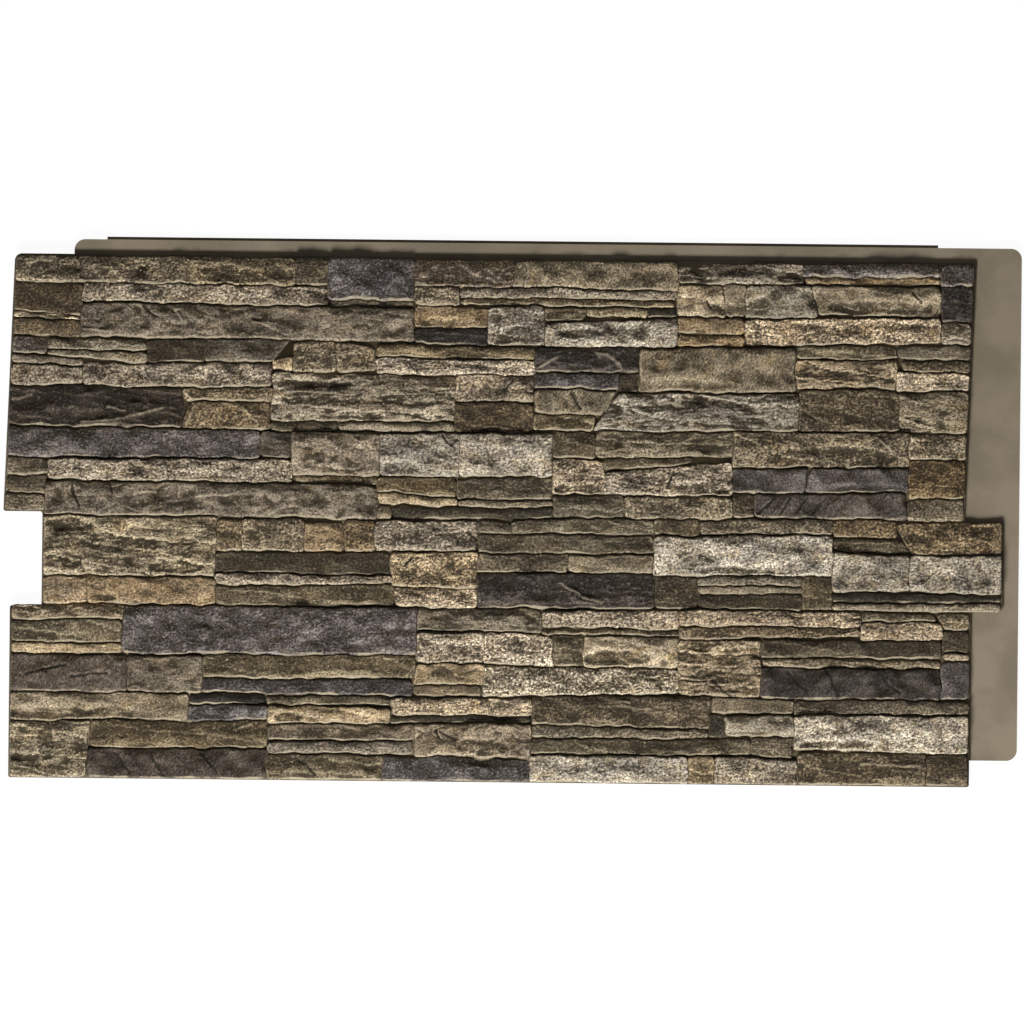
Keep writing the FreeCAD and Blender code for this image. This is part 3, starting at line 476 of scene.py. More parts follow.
def lay_stone(finish, light, lift, left, right, low_left, low_right, high_left, high_right,
              warm=0, tilt=0, lean_left=0, lean_right=0):
    """Models one stone: a plane drawn to its corners, divided, and its edge taken down into the bed."""
    points = let_out(corners(left, right, low_left, low_right, high_left, high_right, lean_left, lean_right))
    thin = min(points[2][1] - points[0][1], points[3][1] - points[1][1])
    worn = min(1.0, thin / FULL_HEIGHT)
    at_rim = (left is EDGE, right is EDGE, EDGE in (low_left, low_right), EDGE in (high_left, high_right))
    crown = at_rim[3] and thin > CROWN_HEIGHT
    lift = max(lift, LEAST_LIFT)
    deep = min(1.0, lift / FULL_LIFT)
    top = BED + lift - RELIEF_ROOM * deep
    crest_and_highlight = top - tilt - (CROWN_DROP * deep if crown else 0)
    targets = []
    for i, (x, y) in enumerate(points):
        end = RIM_INSET if at_rim[i % 2] else INSET[0]
        side = INSET[1] if i < 2 else (CROWN_INSET if crown else INSET[2])
        x, y = x - SIGNS[i][0] * end, y - SIGNS[i][1] * side * worn
        z = top + tilt if i < 2 else crest_and_highlight
        targets.append(((x - PANEL_MIDDLE[0]) * MM, (y - PANEL_MIDDLE[1]) * MM, z * MM))

    ob, width, height = draw_face(targets)
    face_count = len(bmesh.from_edit_mesh(ob.data).verts)
    pick_rim()
    ring = ob.data.count_selected_items()[0]
    press((0, 0, -RIM_DROP * worn), "SHARP", min(RIM_BEND, 0.5 * thin))
    round_corners(ob, targets, min(0.25 * thin, 0.1 * width / MM))
    hollows = [h for h in HOLLOWS if holds(points, h[0], h[1])]
    for hollow in hollows:
        scoop(ob, hollow, deep)
    cracks_here = [(tone, crack) for tone, lines in CRACKS.items() for crack in lines
                   if holds(points, (crack[0] + crack[2]) / 2, (crack[1] + crack[3]) / 2)]
    for tone, crack in cracks_here:
        pick(ob, "verts", lambda v: from_line(crack, v.co.x / MM + PANEL_MIDDLE[0],
                                              v.co.y / MM + PANEL_MIDDLE[1]) < CRACK_HALF)
        bpy.ops.transform.translate(value=(0, 0, CRACK_DEPTH * tone * MM))
    take_down(targets, height, at_rim, worn, crown)
    bpy.ops.object.mode_set(mode="OBJECT")

    places = place_of(ob)
    mark_sides(ob, places, points, at_rim[3])
    mark_hollows(ob, places, hollows, cracks_here)
    weigh(ob, "whole", places, np.ones(len(places)))
    weigh(ob, "face", places, deep * np.repeat((1, *EDGE_RELIEF), (face_count, *[ring] * len(EDGE_RELIEF))))
    grain_map(ob, finish, places)
    tint(ob, light, warm)
    return ob


def draw_face(targets):
    """Adds a plane, draws it to the four corners and divides it. Returns it in edit mode, with its size."""
    bpy.ops.object.select_all(action="DESELECT")
    bpy.ops.mesh.primitive_plane_add(size=1)
    ob = bpy.context.object
    bpy.ops.object.mode_set(mode="EDIT")
    for (sx, sy), target in zip(SIGNS, targets):
        corner = (0.5 * sx, 0.5 * sy, 0)
        pick(ob, "verts", lambda v: (v.co - Vector(corner)).length < 0.001)
        bpy.ops.transform.translate(value=[t - c for t, c in zip(target, corner)])
    low_left, low_right, high_left, high_right = targets
    width = max(low_right[0] - low_left[0], high_right[0] - high_left[0])
    height = max(high_left[1] - low_left[1], high_right[1] - low_right[1])
    divide(ob, width, 0)
    divide(ob, height, 1)
    return ob, width, height


def round_corners(ob, targets, most):
    """Wears each corner of the face off by its own amount."""
    for (sx, sy), target in zip(SIGNS, targets):
        round_off = min(draw.uniform(*CORNER_WEAR), most)
        pick(ob, "verts", lambda v: math.hypot(v.co.x - target[0], v.co.y - target[1]) < 0.0003)
        press((-sx * round_off * 0.55, -0.6 * sy * round_off * 0.55, -0.3), "SHARP", 2.2 * round_off)


def take_down(targets, height, at_rim, worn, crown):
    """Takes the face's rim out and down, ring by ring, then straight into the bed, and closes it below."""
    pick_rim()
    low_left, low_right, high_left, high_right = targets
    width = (low_right[0] + high_right[0] - low_left[0] - high_left[0]) / 2
    middle = [sum(t[i] for t in targets) / 4 for i in range(3)]
    middle[2] -= RIM_DROP * worn * MM
    for out_end, out_side, out_rim, down in EDGE_RINGS:
        outs = zip(at_rim, (out_end, out_end, out_side, out_side), (1, 1, worn, worn))
        out = [share * MM * (out_rim if outermost else out_here) for outermost, out_here, share in outs]
        if crown:
            out[3] *= 1.3
        shift = ((out[1] - out[0]) / 2, (out[3] - out[2]) / 2, -down * worn * (0.6 if crown else 1) * MM)
        bpy.ops.mesh.extrude_region_move(TRANSFORM_OT_translate={"value": shift})
        middle = [m + d for m, d in zip(middle, shift)]
        bpy.ops.transform.resize(value=(1 + (out[0] + out[1]) / width, 1 + (out[2] + out[3]) / height, 1),
                                 center_override=middle)
        bpy.ops.mesh.vertices_smooth(factor=0.5, repeat=2, zaxis=False)
        width += out[0] + out[1]
        height += out[2] + out[3]
    bpy.ops.mesh.extrude_region_move()
    bpy.ops.transform.resize(value=(1, 1, 0), center_override=(0, 0, (BED - 4) * MM))
    bpy.ops.mesh.edge_face_add()
    bpy.ops.mesh.select_all(action="SELECT")
    bpy.ops.mesh.normals_make_consistent(inside=False)


def holds(points, x, y):
    """Whether a place lies inside a stone's outline."""
    (x0, y0), (x1, y1), (x2, y2), (x3, y3) = points
    share = (x - x0) / (x1 - x0)
    return min(x0, x2) < x < max(x1, x3) and y0 + (y1 - y0) * share < y < y2 + (y3 - y2) * share


def scoop(ob, hollow, deep):
    """Sinks an oval part of a stone's face, or raises it, with a short slope around it."""
    x, y, half_length, half_height, depth, _ = hollow
    x, y = (x - PANEL_MIDDLE[0]) * MM, (y - PANEL_MIDDLE[1]) * MM
    half_length, half_height = half_length * MM, half_height * MM
    pick(ob, "verts", lambda v: ((v.co.x - x) / half_length) ** 2 + ((v.co.y - y) / half_height) ** 2 < 1)
    press((0, 0, -0.9 * depth * deep), "SMOOTH", SCOOP_SLOPE)


def from_line(crack, x, y):
    """How far a place or places are from the line of a crack."""
    x0, y0, x1, y1 = crack
    run = (x1 - x0, y1 - y0)
    share = np.clip(((x - x0) * run[0] + (y - y0) * run[1]) / (run[0] ** 2 + run[1] ** 2), 0, 1)
    return np.hypot(x - x0 - run[0] * share, y - y0 - run[1] * share)


def values_of(items, key, size, kind=float):
    """What a mesh keeps for each of its points, edges or corners, a row each."""
    values = np.empty(len(items) * size, kind)
    items.foreach_get(key, values)
    return values.reshape(-1, size)


def keep(ob, name, values):
    """Keeps a number or a colour for each point of a piece, which its paint reads."""
    kind, key = ("FLOAT", "value") if values.ndim == 1 else ("FLOAT_COLOR", "color")
    ob.data.attributes.new(name, kind, "POINT").data.foreach_set(key, values.astype(np.float32).ravel())


def place_of(ob):
    """The x and y of a stone's points in the layout."""
    return values_of(ob.data.vertices, "co", 3)[:, :2] / MM + PANEL_MIDDLE


def mark_hollows(ob, places, hollows, cracks):
    """Writes how dark or light the hollows, raised patches and cracks are painted."""
    tone = np.zeros(len(places))
    for x, y, half_length, half_height, _, shade in hollows:
        far = np.hypot((places[:, 0] - x) / (half_length + 2), (places[:, 1] - y) / (half_height + 2))
        tone += shade * np.clip(1.7 * (1.25 - far), 0, 1)
    for shade, crack in cracks:
        tone += 2.2 * shade * np.clip(2.2 - from_line(crack, *places.T), 0, 1)
    keep(ob, "hollow", tone)


def mark_sides(ob, places, points, open_above):
    """Writes how near each point is to the lower lip, which gets a painted highlight, to the upper edge,
    which gets a painted shadow, and to the ends.
    """
    (x0, y0), (x1, y1), (x2, y2), (x3, y3) = points
    x, y = places.T
    along = np.clip((x - (x0 + x2) / 2) / ((x1 + x3) / 2 - (x0 + x2) / 2), 0, 1)
    low, high = y0 + (y1 - y0) * along, y2 + (y3 - y2) * along
    up = np.clip((y - low) / (high - low), 0, 1)
    end = np.minimum(x - (x0 + (x2 - x0) * up), x1 + (x3 - x1) * up - x)
    marks = np.ones((len(places), 4))
    for column, gap, start, reach in ((0, y - low, 2.8, 1.8), (1, high - y, 6, 6), (2, end, 1.8, 2.6)):
        marks[:, column] = np.clip((start - gap) / reach, 0, 1)
    # The top course has no stone above it, so no painted shadow along its upper edge
    if open_above:
        marks[:, 1] = 0
    keep(ob, "sides", marks)


def weigh(ob, name, places, shares):
    """Puts a stone's points in a vertex group, lighter towards the rim of the panel's face."""
    x, y = places.T
    near = np.minimum(np.minimum(x - rim(0, y), rim(1, y) - x), np.minimum(y - FOOT, HEAD - y))
    weights = shares * (0.4 + 0.15 * np.digitize(near, (1, 4, 8, 12)))
    group = ob.vertex_groups.new(name=name)
    for weight in np.unique(weights):
        group.add(np.nonzero(weights == weight)[0].tolist(), weight, "REPLACE")


def grain_map(ob, finish, places):
    """Gives a stone its own piece of the rock's patterns, stretched along the bedding and turned."""
    stretch, turn = FINISHES[finish][:2]
    turn = math.radians(turn + draw.uniform(-4, 4))
    centred = places - places.mean(axis=0)
    along = centred @ (math.cos(turn), math.sin(turn)) / stretch
    across = centred @ (-math.sin(turn), math.cos(turn))
    corner = values_of(ob.data.loops, "vertex_index", 1, int)[:, 0]
    for name, unit, longer in (("grain", GRAIN, 1), ("ledges", LEDGE, 2.6)):
        shift = (draw.uniform(-40, 40), draw.uniform(-40, 40))
        layer = ob.data.uv_layers.get(name) or ob.data.uv_layers.new(name=name)
        spots = np.stack((along / unit / longer + shift[0], across / unit + shift[1]), 1)[corner]
        layer.data.foreach_set("uv", spots.astype(np.float32).ravel())


def tint(ob, light, warm):
    """Writes how light and how warm a stone's paint is, with a little chance."""
    value = 1.15 ** light * draw.uniform(0.96, 1.04)
    warm = 0.05 * warm + draw.uniform(-0.015, 0.015)
    colour = (value * (1 + warm), value, value * (1 - 1.6 * warm), 1)
    keep(ob, "tint", np.tile(colour, (len(ob.data.vertices), 1)))


def texture(name, scale, depth=1, level=0.5, ramp=(), kind="CLOUDS", **settings):
    """A pattern for displacing stone and the level of it that stays put. ramp has positions and values."""
    made = bpy.data.textures.new(name, kind)
    made.noise_scale = scale
    if kind == "CLOUDS":
        made.noise_depth = depth
        made.noise_basis = "IMPROVED_PERLIN"
    for key, value in settings.items():
        setattr(made, key, value)
    if ramp:
        made.use_color_ramp = True
        stops = made.color_ramp.elements
        while len(stops) < len(ramp):
            stops.new(0.5)
        for stop, (position, value) in zip(stops, ramp):
            stop.position = position
            stop.color = (value, value, value, 1)
    return made, level


broken = texture("broken face", 0.03)
waver = texture("wavering course", 0.06)
chips = texture("chipped edge", 0.018, 2)
waves = texture("long waves", 0.9)
facets = texture("facets", 1.3, level=0.4, kind="VORONOI", weight_1=-1.0, weight_2=1.0,
                 distance_metric="DISTANCE")
ledges = texture("ledges", 0.7, level=0.4, kind="WOOD", wood_type="BANDNOISE", noise_basis_2="SAW",
                 turbulence=9.0, noise_basis="IMPROVED_PERLIN")
lumps = texture("lumps", 0.9, 2)
pits = texture("pits", 0.27, 1, 0.8, ((0.0, 0.0), (0.34, 0.1), (0.5, 0.85), (1.0, 1.0)))
splits = texture("splits", 0.55, 3, 0.6, ((0.0, 0.0), (0.22, 0.25), (0.45, 0.75), (1.0, 1.0)),
                 noise_type="HARD_NOISE")
grain = texture("crystal grain", 0.24, 2)
fine = texture("fine grain", 0.2)
grooves = texture("grooves", 0.34, 2, 0.7, ((0.0, 0.0), (0.42, 0.7), (1.0, 1.0)))
cracks = texture("cracks", 1.6, 1, 0.95, ((0.0, 0.0), (0.10, 0.55), (0.2, 1.0), (1.0, 1.0)),
                 noise_type="HARD_NOISE")

# The relief of each finish: patterns and their depths in millimetres
RELIEF = {
    "cream pitted": ((waves, 12), (ledges, -1.2), (facets, 3.2), (pits, 1.6), (fine, 1.0)),
    "cream cleft": ((waves, 12), (ledges, -1.8), (facets, 3.4), (splits, 2.2), (pits, 1.0)),
    "pale pitted": ((waves, 10), (ledges, -0.8), (facets, 2.4), (pits, 1.7), (fine, 1.0)),
    "tan pitted": ((waves, 12), (ledges, -1.2), (facets, 3.4), (pits, 1.4), (fine, 1.0)),
    "tan cleft": ((waves, 12), (ledges, -1.8), (facets, 3.4), (splits, 2.0), (fine, 1.0)),
    "tan smooth": ((waves, 11), (ledges, -1.0), (facets, 3.4), (fine, 0.9)),
    "tan grooved": ((waves, 9), (lumps, 2.2), (grooves, 1.0), (fine, 0.6)),
    "rose smooth": ((waves, 11), (ledges, -1.0), (facets, 3.4), (pits, 0.9), (fine, 0.8)),
    "umber pitted": ((waves, 11), (ledges, -1.4), (facets, 4.4), (pits, 1.4), (fine, 1.0)),
    "olive smooth": ((waves, 11), (ledges, -1.6), (facets, 3.9), (fine, 1.1)),
    "grey smooth": ((waves, 9), (lumps, 3.0), (cracks, 1.4), (fine, 1.1)),
    "slate grain": ((waves, 9), (facets, 3.0), (grain, 3.4)),
    "slate smooth": ((waves, 9), (facets, 2.9), (fine, 1.0)),
    "slate cracked": ((waves, 9), (lumps, 2.0), (cracks, 1.2), (fine, 0.6)),
    "charcoal cleft": ((waves, 11), (ledges, -1.4), (facets, 3.9), (splits, 2.0), (fine, 1.0)),
}


def displace(ob, pattern, depth, group, direction, mapped=True):
    """Displaces a piece by a pattern, on one of its maps or in the panel's own coordinates."""
    bpy.ops.object.modifier_add(type="DISPLACE")
    modifier = ob.modifiers[-1]
    modifier.texture, modifier.mid_level = pattern
    modifier.strength = depth * MM
    modifier.vertex_group = group
    modifier.direction = direction
    modifier.texture_coords = "UV" if mapped else "GLOBAL"
    if mapped:
        modifier.uv_layer = "ledges" if pattern in (ledges, waves) else "grain"
    bpy.ops.object.modifier_apply(modifier=modifier.name)


def carve(ob, finish):
    """Gives the stones of one finish their broken faces, wavering edges and surface relief."""
    bpy.context.view_layer.objects.active = ob
    displace(ob, broken, 18.0, "face", "Z", mapped=False)
    for pattern, depth, direction in ((waver, 5.0, "X"), (waver, 6.0, "Y"),
                                      (chips, 8.0, "X"), (chips, 7.0, "Y")):
        displace(ob, pattern, depth, "whole", direction, mapped=False)
    for pattern, depth in RELIEF[finish]:
        displace(ob, pattern, depth, "face", "Z")


def weather(ob):
    """Finds the hollows and crests of the relief, where the wash settles and the dry brush catches,
    and writes them: fine hollows in red, broad hollows in green, crests in blue."""
    z = values_of(ob.data.vertices, "co", 3)[:, 2] / MM
    a, b = values_of(ob.data.edges, "vertices", 2, int).T
    count = len(z)
    links = np.bincount(a, minlength=count) + np.bincount(b, minlength=count)

    def smooth(values, rounds):
        for _ in range(rounds):
            around = (np.bincount(a, values[b], count) + np.bincount(b, values[a], count)) / links
            values = (values + around) / 2
        return values
    level = smooth(z, 10)
    near = z - level
    broad = level - smooth(level, 50)
    sides = values_of(ob.data.attributes["sides"].data, "color", 4)
    marks = np.ones((count, 4))
    marks[:, 0] = np.clip(0.5 - near / 1.2, 0, 1)
    marks[:, 1] = np.clip(0.5 - broad / 2.4, 0, 1)
    marks[:, 2] = np.clip(near / 0.7, 0, 1) * np.clip(1.8 - 2.5 * sides[:, 1:3].max(axis=1), 0, 1)
    keep(ob, "weathering", marks)


# Each finish: how far its patterns are stretched along the bedding, and how they are turned in degrees; the
# level in the noise where its dark specks begin, of which a lower one gives more; how strong the wash in
# its hollows is; and its paint: body, second tone, spots and dry-brushed crests, whose colour is also the
# painted highlight on slopes facing the lamp
FINISHES = {
    "cream pitted": (1.9, 0, 0.50, 0.85, (0.42, 0.344, 0.248), (0.26, 0.2, 0.135),
        (0.068, 0.055, 0.047), (0.55, 0.47, 0.35)),
    "cream cleft": (3.6, 0, 0.54, 1.1, (0.357, 0.291, 0.207), (0.141, 0.108, 0.0705),
        (0.0564, 0.0451, 0.0338), (0.47, 0.404, 0.301)),
    "pale pitted": (1.4, 0, 0.53, 0.65, (0.385, 0.332, 0.26), (0.32, 0.265, 0.19),
        (0.078, 0.074, 0.078), (0.56, 0.504, 0.40)),
    "tan pitted": (1.7, 0, 0.50, 0.9, (0.254, 0.197, 0.127), (0.132, 0.0987, 0.0602),
        (0.047, 0.0376, 0.0282), (0.395, 0.329, 0.226)),
    "tan cleft": (3.8, 0, 0.53, 1.1, (0.237, 0.19, 0.123), (0.109, 0.0836, 0.0503),
        (0.0427, 0.0351, 0.0256), (0.399, 0.332, 0.228)),
    "tan smooth": (2.0, 0, 0.60, 0.8, (0.265, 0.216, 0.145), (0.175, 0.138, 0.0874),
        (0.0828, 0.0662, 0.046), (0.386, 0.322, 0.23)),
    "tan grooved": (1.9, 58, 0.56, 0.6, (0.219, 0.177, 0.116), (0.149, 0.118, 0.0763),
        (0.0651, 0.0521, 0.0372), (0.316, 0.26, 0.181)),
    "rose smooth": (1.8, 0, 0.57, 0.8, (0.225, 0.172, 0.115), (0.18, 0.128, 0.0741),
        (0.0855, 0.0608, 0.038), (0.399, 0.314, 0.199)),
    "umber pitted": (1.8, 0, 0.52, 0.9, (0.076, 0.056, 0.033), (0.0574, 0.0409, 0.0235),
        (0.0244, 0.0183, 0.013), (0.255, 0.202, 0.13)),
    "olive smooth": (2.6, 0, 0.56, 0.9, (0.088, 0.068, 0.04), (0.0608, 0.046, 0.0265),
        (0.0273, 0.0218, 0.014), (0.262, 0.216, 0.14)),
    "grey smooth": (2.0, 0, 0.57, 0.9, (0.179, 0.146, 0.108), (0.113, 0.0902, 0.0639),
        (0.0517, 0.0423, 0.0329), (0.291, 0.244, 0.183)),
    "slate grain": (1.7, 0, 0.55, 0.35, (0.066, 0.056, 0.052), (0.0504, 0.0414, 0.0387),
        (0.0225, 0.018, 0.0171), (0.225, 0.2, 0.188)),
    "slate smooth": (1.8, -35, 0.60, 0.4, (0.0924, 0.0792, 0.0748), (0.0616, 0.051, 0.0484),
        (0.029, 0.0238, 0.0229), (0.167, 0.15, 0.136)),
    "slate cracked": (1.4, 55, 0.64, 0.5, (0.0853, 0.0696, 0.0592), (0.0522, 0.0418, 0.0348),
        (0.0218, 0.0174, 0.0139), (0.165, 0.139, 0.117)),
    "charcoal cleft": (3.0, 0, 0.56, 0.5, (0.036, 0.0288, 0.024), (0.0208, 0.016, 0.0136),
        (0.0096, 0.0072, 0.0064), (0.165, 0.138, 0.114)),
}
# The dark wash that settles in the hollows, also used as painted shade on slopes facing away from the lamp
# and along upper edges; and the dark of the cracks
WASH_AND_PAINTED_SHADE, CRACK = (0.045, 0.034, 0.018), (0.02, 0.016, 0.01)
FILLED, CRUMBS = (0.085, 0.066, 0.038), (0.27, 0.215, 0.135)
STAIN = (0.36, 0.34, 0.27)
GOLD = (1.18, 0.98, 0.60)
PURPLE = (0.78, 0.77, 0.87)
# Painted highlight along the stones' lower lips, which face the lamp, bright and dim; the same paint makes
# the pale scratches
LIP_HIGHLIGHT_AND_SCRATCH, DIM_LIP_HIGHLIGHT_AND_SCRATCH = (0.50, 0.425, 0.295), (0.36, 0.30, 0.20)


def node(tree, kind, inputs=None, **settings):
    """Adds a node, right of those that feed it. Each input is a number, a colour or a node's output."""
    made = tree.nodes.new(kind)
    made.location.y = -220 * len(tree.nodes)
    for key, value in settings.items():
        setattr(made, key, value)
    for key, source in (inputs or {}).items():
        feed(tree, made.inputs[key], source)
    return made


def feed(tree, socket, source):
    """Gives a socket a number, a colour or another node's output."""
    if isinstance(source, bpy.types.NodeSocket):
        tree.links.new(source, socket)
        socket.node.location.x = max(socket.node.location.x, source.node.location.x + 220)
    else:
        socket.default_value = (*source, 1) if isinstance(source, tuple) else source


def noise(tree, coordinates, scale, detail, roughness=0.55):
    """Noise of a given number of features per unit of the coordinates."""
    inputs = {"Vector": coordinates, "Scale": scale, "Detail": detail, "Roughness": roughness}
    return node(tree, "ShaderNodeTexNoise", inputs).outputs["Fac"]


def between(tree, value, low, high, top=1.0):
    """A value spread from 0 at low to top at high."""
    inputs = {"Value": value, "From Min": low, "From Max": high, "To Max": top}
    return node(tree, "ShaderNodeMapRange", inputs, interpolation_type="SMOOTHSTEP").outputs["Result"]


def blend(tree, factor, first, second, kind="MIX"):
    """Mixes two colours."""
    return node(tree, "ShaderNodeMix", {0: factor, 6: first, 7: second}, data_type="RGBA",
                blend_type=kind).outputs[2]


def combine(tree, first, second, operation="MULTIPLY"):
    """Multiplies two numbers, or works them out another way."""
    return node(tree, "ShaderNodeMath", {0: first, 1: second}, operation=operation).outputs[0]


def kept(tree, name, output="Color"):
    """What a piece keeps for each point under a name."""
    return node(tree, "ShaderNodeAttribute", attribute_name=name).outputs[output]


def channels(tree, name):
    """The red, green and blue of what a piece keeps."""
    return node(tree, "ShaderNodeSeparateColor", {0: kept(tree, name)}).outputs


def new_paint(name):
    """A material and the tree of its nodes."""
    material = bpy.data.materials.new(name)
    material.use_nodes = True
    return material, material.node_tree


def finish_paint(tree, colour, roughness, gloss, height, strength, distance):
    """Feeds a paint's colour, roughness, gloss and bump to its shader."""
    bump = node(tree, "ShaderNodeBump", {"Height": height, "Strength": strength, "Distance": distance * MM})
    shader = tree.nodes["Principled BSDF"]
    for key, source in (("Base Color", colour), ("Roughness", roughness), ("Specular IOR Level", gloss),
                        ("Normal", bump.outputs[0])):
        feed(tree, shader.inputs[key], source)
    tree.nodes["Material Output"].location.x = shader.location.x + 300


def stone_paint(finish):
    """The paint of one finish: two tones and dark spots, washed in the hollows and dry-brushed on top, with
    painted highlights on the lower lips and on slopes facing the lamp, and painted shade on slopes facing
    away from it and along upper edges.
    """
    stretch, _, specks, wash, body, second, spots, crest_and_highlight = FINISHES[finish]
    material, tree = new_paint(finish)
    grain = node(tree, "ShaderNodeUVMap", uv_map="grain").outputs[0]
    fine_hollow, broad_hollow, raised = channels(tree, "weathering")
    lip_highlight_reach, upper_edge_shadow_reach, by_end = channels(tree, "sides")
    normal = node(tree, "ShaderNodeNewGeometry").outputs["Normal"]
    facing_up = node(tree, "ShaderNodeSeparateXYZ", {0: normal}).outputs[1]
    hollow = kept(tree, "hollow", "Fac")
    stone_tint = kept(tree, "tint")

    def patches(scale, detail, low, high, top=1.0, roughness=0.6):
        return between(tree, noise(tree, grain, scale, detail, roughness), low, high, top)

    def over(factor, paint, kind="MIX"):
        nonlocal colour
        colour = blend(tree, factor, colour, paint, kind)

    colour = blend(tree, patches(0.8, 3, 0.40, 0.60, roughness=0.55), second, body)
    over(patches(1.3, 4, 0.50, 0.70, 0.55), GOLD, "MULTIPLY")
    over(patches(2.1, 4, 0.50, 0.66, 0.2 if finish == "slate cracked" else 0.7), PURPLE, "MULTIPLY")
    uneven = combine(tree, combine(tree, noise(tree, grain, 2.5, 3), 0.5, "SUBTRACT"), hollow, "ADD")
    over(between(tree, combine(tree, uneven, -1), 0.15, 0.8), STAIN, "MULTIPLY")
    over(between(tree, uneven, 0.2, 0.8, 0.8), crest_and_highlight)
    over(between(tree, broad_hollow, 0.5, 1.0, 0.6 * wash), WASH_AND_PAINTED_SHADE)
    over(between(tree, raised, 0.15, 0.9, 0.6), crest_and_highlight)
    # Painted shade on slopes that face the top, away from the lamp, and painted highlight on slopes that
    # face the foot, towards the lamp
    over(between(tree, facing_up, 0.04, 0.45, 0.75), WASH_AND_PAINTED_SHADE)
    over(between(tree, combine(tree, facing_up, -1), 0.10, 0.5, 0.5), crest_and_highlight)
    # Painted light and shade in broad random patches, standing in for the shading of the relief
    painted_relief_shade = patches(0.55, 2, 0.36, 0.64, roughness=0.55)
    over(1.0, blend(tree, painted_relief_shade, (0.74, 0.73, 0.72), (1.26, 1.25, 1.22)), "MULTIPLY")
    over(1.0, stone_tint, "MULTIPLY")

    # Crystals and grit, which aren't stretched along the bedding
    even = node(tree, "ShaderNodeMapping", {"Vector": grain})
    even.inputs["Scale"].default_value = (stretch / 1.25, 1, 1)
    rough = noise(tree, even.outputs[0], 7.0, 5, 0.75)
    over(between(tree, rough, 0.535, 0.635, 0.9), blend(tree, 1.0, crest_and_highlight, stone_tint, "MULTIPLY"))
    speckle = between(tree, combine(tree, 1.0, rough, "SUBTRACT"), specks, specks + 0.055, 0.92)
    over(speckle, spots)
    grit = between(tree, noise(tree, even.outputs[0], 9.0, 5, 0.78), 0.35, 0.65)
    over(1.0, blend(tree, grit, (0.13, 0.13, 0.15), (2.2, 2.17, 2.1)), "MULTIPLY")

    # Painted highlights along the lower lips in stretches, then wash in the hollows, painted shadow below
    # the upper edges, cracks, scratches and ends
    pale = blend(tree, grit, DIM_LIP_HIGHLIGHT_AND_SCRATCH, LIP_HIGHLIGHT_AND_SCRATCH)
    # Painted highlight along the lower lip, on the side that faces the lamp
    over(combine(tree, between(tree, lip_highlight_reach, 0.2, 0.7, 0.85), patches(0.9, 4, 0.42, 0.56)), pale)
    over(between(tree, fine_hollow, 0.5, 1.0, min(1.0, wash)), WASH_AND_PAINTED_SHADE)
    ragged = combine(tree, noise(tree, grain, 1.6, 5, 0.6), 2.0)
    # Painted shadow along the upper edge, under the lip of the stone above
    over(between(tree, combine(tree, upper_edge_shadow_reach, ragged), 0.6, 1.05, 0.85), WASH_AND_PAINTED_SHADE)
    broken_up = combine(tree, hollow, ragged)
    over(between(tree, combine(tree, broken_up, -1), 1.0, 2.0, 0.8), CRACK)
    over(between(tree, broken_up, 1.3, 2.6, 0.5), pale)
    over(between(tree, combine(tree, by_end, ragged), 0.1, 0.9, 0.6), blend(tree, grit, FILLED, CRUMBS))
    roughness = combine(tree, combine(tree, speckle, 0.1), 0.82, "ADD")
    finish_paint(tree, colour, roughness, 0.3, rough, 0.9, 2.6)
    return material


def foam_paint(name, light, dark, stain):
    """The plain painted foam of the board: mottled, with faint stains and tiny pits."""
    material, tree = new_paint(name)
    place = node(tree, "ShaderNodeTexCoord").outputs["Object"]
    colour = blend(tree, between(tree, noise(tree, place, 14.0, 4), 0.35, 0.65), dark, light)
    colour = blend(tree, between(tree, noise(tree, place, 6.0, 5), 0.55, 0.75, 0.5), colour, stain)
    colour = blend(tree, between(tree, noise(tree, place, 420.0, 2), 0.68, 0.76, 0.5), colour, stain)
    finish_paint(tree, colour, 0.7, 0.35, noise(tree, place, 260.0, 4), 0.35, 0.4)
    return material


BOARD_TOP = (BED - 2.5) * MM       # the board is cut just below the floor of the joints


def make_board():
    """The board behind the stones, with its flanges, lip, socket and rebates."""
    bpy.ops.object.select_all(action="DESELECT")
    solid = frame["nodes"]["stone_panel"]
    solid.select_set(True)
    bpy.context.view_layer.objects.active = solid
    bpy.ops.object.duplicate()
    board = bpy.context.object
    board.name = "board"
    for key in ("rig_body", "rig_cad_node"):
        if key in board:
            del board[key]
    board.parent = None
    bpy.ops.object.mode_set(mode="EDIT")
    bpy.ops.mesh.select_all(action="SELECT")
    bpy.ops.mesh.remove_doubles(threshold=0.00001)
    bpy.ops.mesh.bisect(plane_co=(0, 0, BOARD_TOP), plane_no=(0, 0, 1), clear_outer=True, use_fill=True)
    bpy.ops.mesh.select_all(action="SELECT")
    bpy.ops.mesh.dissolve_limited(angle_limit=math.radians(0.5))
    bpy.ops.object.mode_set(mode="OBJECT")
    board.data.materials.clear()
    for paint in (("board foam", (0.245, 0.20, 0.14), (0.185, 0.15, 0.10), (0.13, 0.10, 0.06)),
                  ("joint wash", (0.15, 0.12, 0.07), (0.09, 0.07, 0.04), (0.04, 0.03, 0.018))):
        board.data.materials.append(foam_paint(*paint))
    for polygon in board.data.polygons:
        polygon.material_index = int(polygon.center.z > BOARD_TOP - MM and polygon.normal.z > 0.5)
    return board


def part_of_panel(piece):
    """Says that a piece stands for the CAD panel."""
    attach(piece, "root")
    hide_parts("stone_panel")


part_of_panel(make_board())

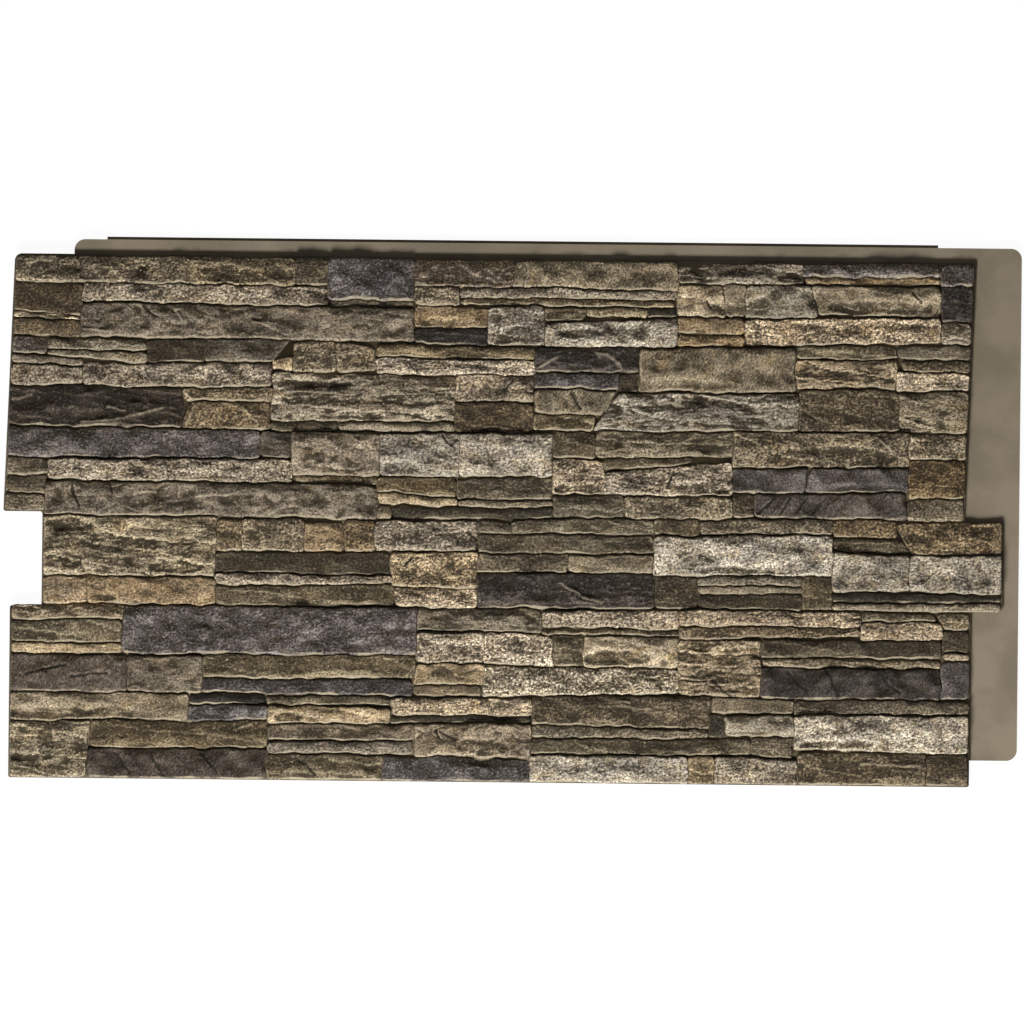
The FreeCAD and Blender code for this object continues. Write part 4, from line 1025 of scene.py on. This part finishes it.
laid = {}
for row in STONES:
    laid.setdefault(row[0], []).append(lay_stone(*row))
for finish, stones in laid.items():
    bpy.ops.object.select_all(action="DESELECT")
    for stone in stones:
        stone.select_set(True)
    bpy.context.view_layer.objects.active = stones[0]
    bpy.ops.object.join()
    course = bpy.context.object
    course.name = finish.replace(" ", "_") + "_stones"
    carve(course, finish)
    weather(course)
    bpy.ops.object.shade_smooth()
    course.data.materials.append(stone_paint(finish))
    part_of_panel(course)

# The pale floor, which the camera sees as white with the panel's soft shadow on it
bpy.ops.mesh.primitive_plane_add(size=30, location=(0, 0, -0.0002))
floor = bpy.context.object
floor.name = "floor"
white, tree = new_paint("pale floor")
shader = tree.nodes["Principled BSDF"]
feed(tree, shader.inputs["Base Color"], (0.8, 0.8, 0.8))
feed(tree, shader.inputs["Roughness"], 0.9)
glow = node(tree, "ShaderNodeEmission", {"Strength": 1.06})
seen = combine(tree, node(tree, "ShaderNodeLightPath").outputs["Is Camera Ray"], 0.9)
mixed = node(tree, "ShaderNodeMixShader", {0: seen, 1: shader.outputs[0], 2: glow.outputs[0]})
feed(tree, tree.nodes["Material Output"].inputs["Surface"], mixed.outputs[0])
floor.data.materials.append(white)

# A world that lights the panel a little and is white to the camera
world = bpy.data.worlds.new("studio")
world.use_nodes = True
tree = world.node_tree
seen = combine(tree, node(tree, "ShaderNodeLightPath").outputs["Is Camera Ray"], 0.85)
feed(tree, tree.nodes["Background"].inputs["Color"], (1.0, 1.0, 1.0))
feed(tree, tree.nodes["Background"].inputs["Strength"], combine(tree, seen, 0.15, "ADD"))
bpy.context.scene.world = world

# A square lamp beyond the panel's foot, as the light in the photograph falls
lamp_place = Vector((-0.5, -2.4, 2.35))
bpy.ops.object.light_add(type="AREA", location=lamp_place)
lamp = bpy.context.object
lamp.name = "key"
lamp.data.size = 1.0
lamp.data.energy = 160
lamp.rotation_euler = (-lamp_place).to_track_quat("-Z", "Y").to_euler()

# The camera looks straight down on the panel, which lies 0.6 degrees askew in the photograph
bpy.ops.object.camera_add(location=(0.0006, -0.0006, 8.563), rotation=(0, 0, math.radians(0.6)))
camera = bpy.context.object
camera.data.lens = 250
camera.data.sensor_width = 36
camera.data.clip_end = 100
bpy.context.scene.camera = camera
bpy.context.scene.view_settings.view_transform = "Standard"
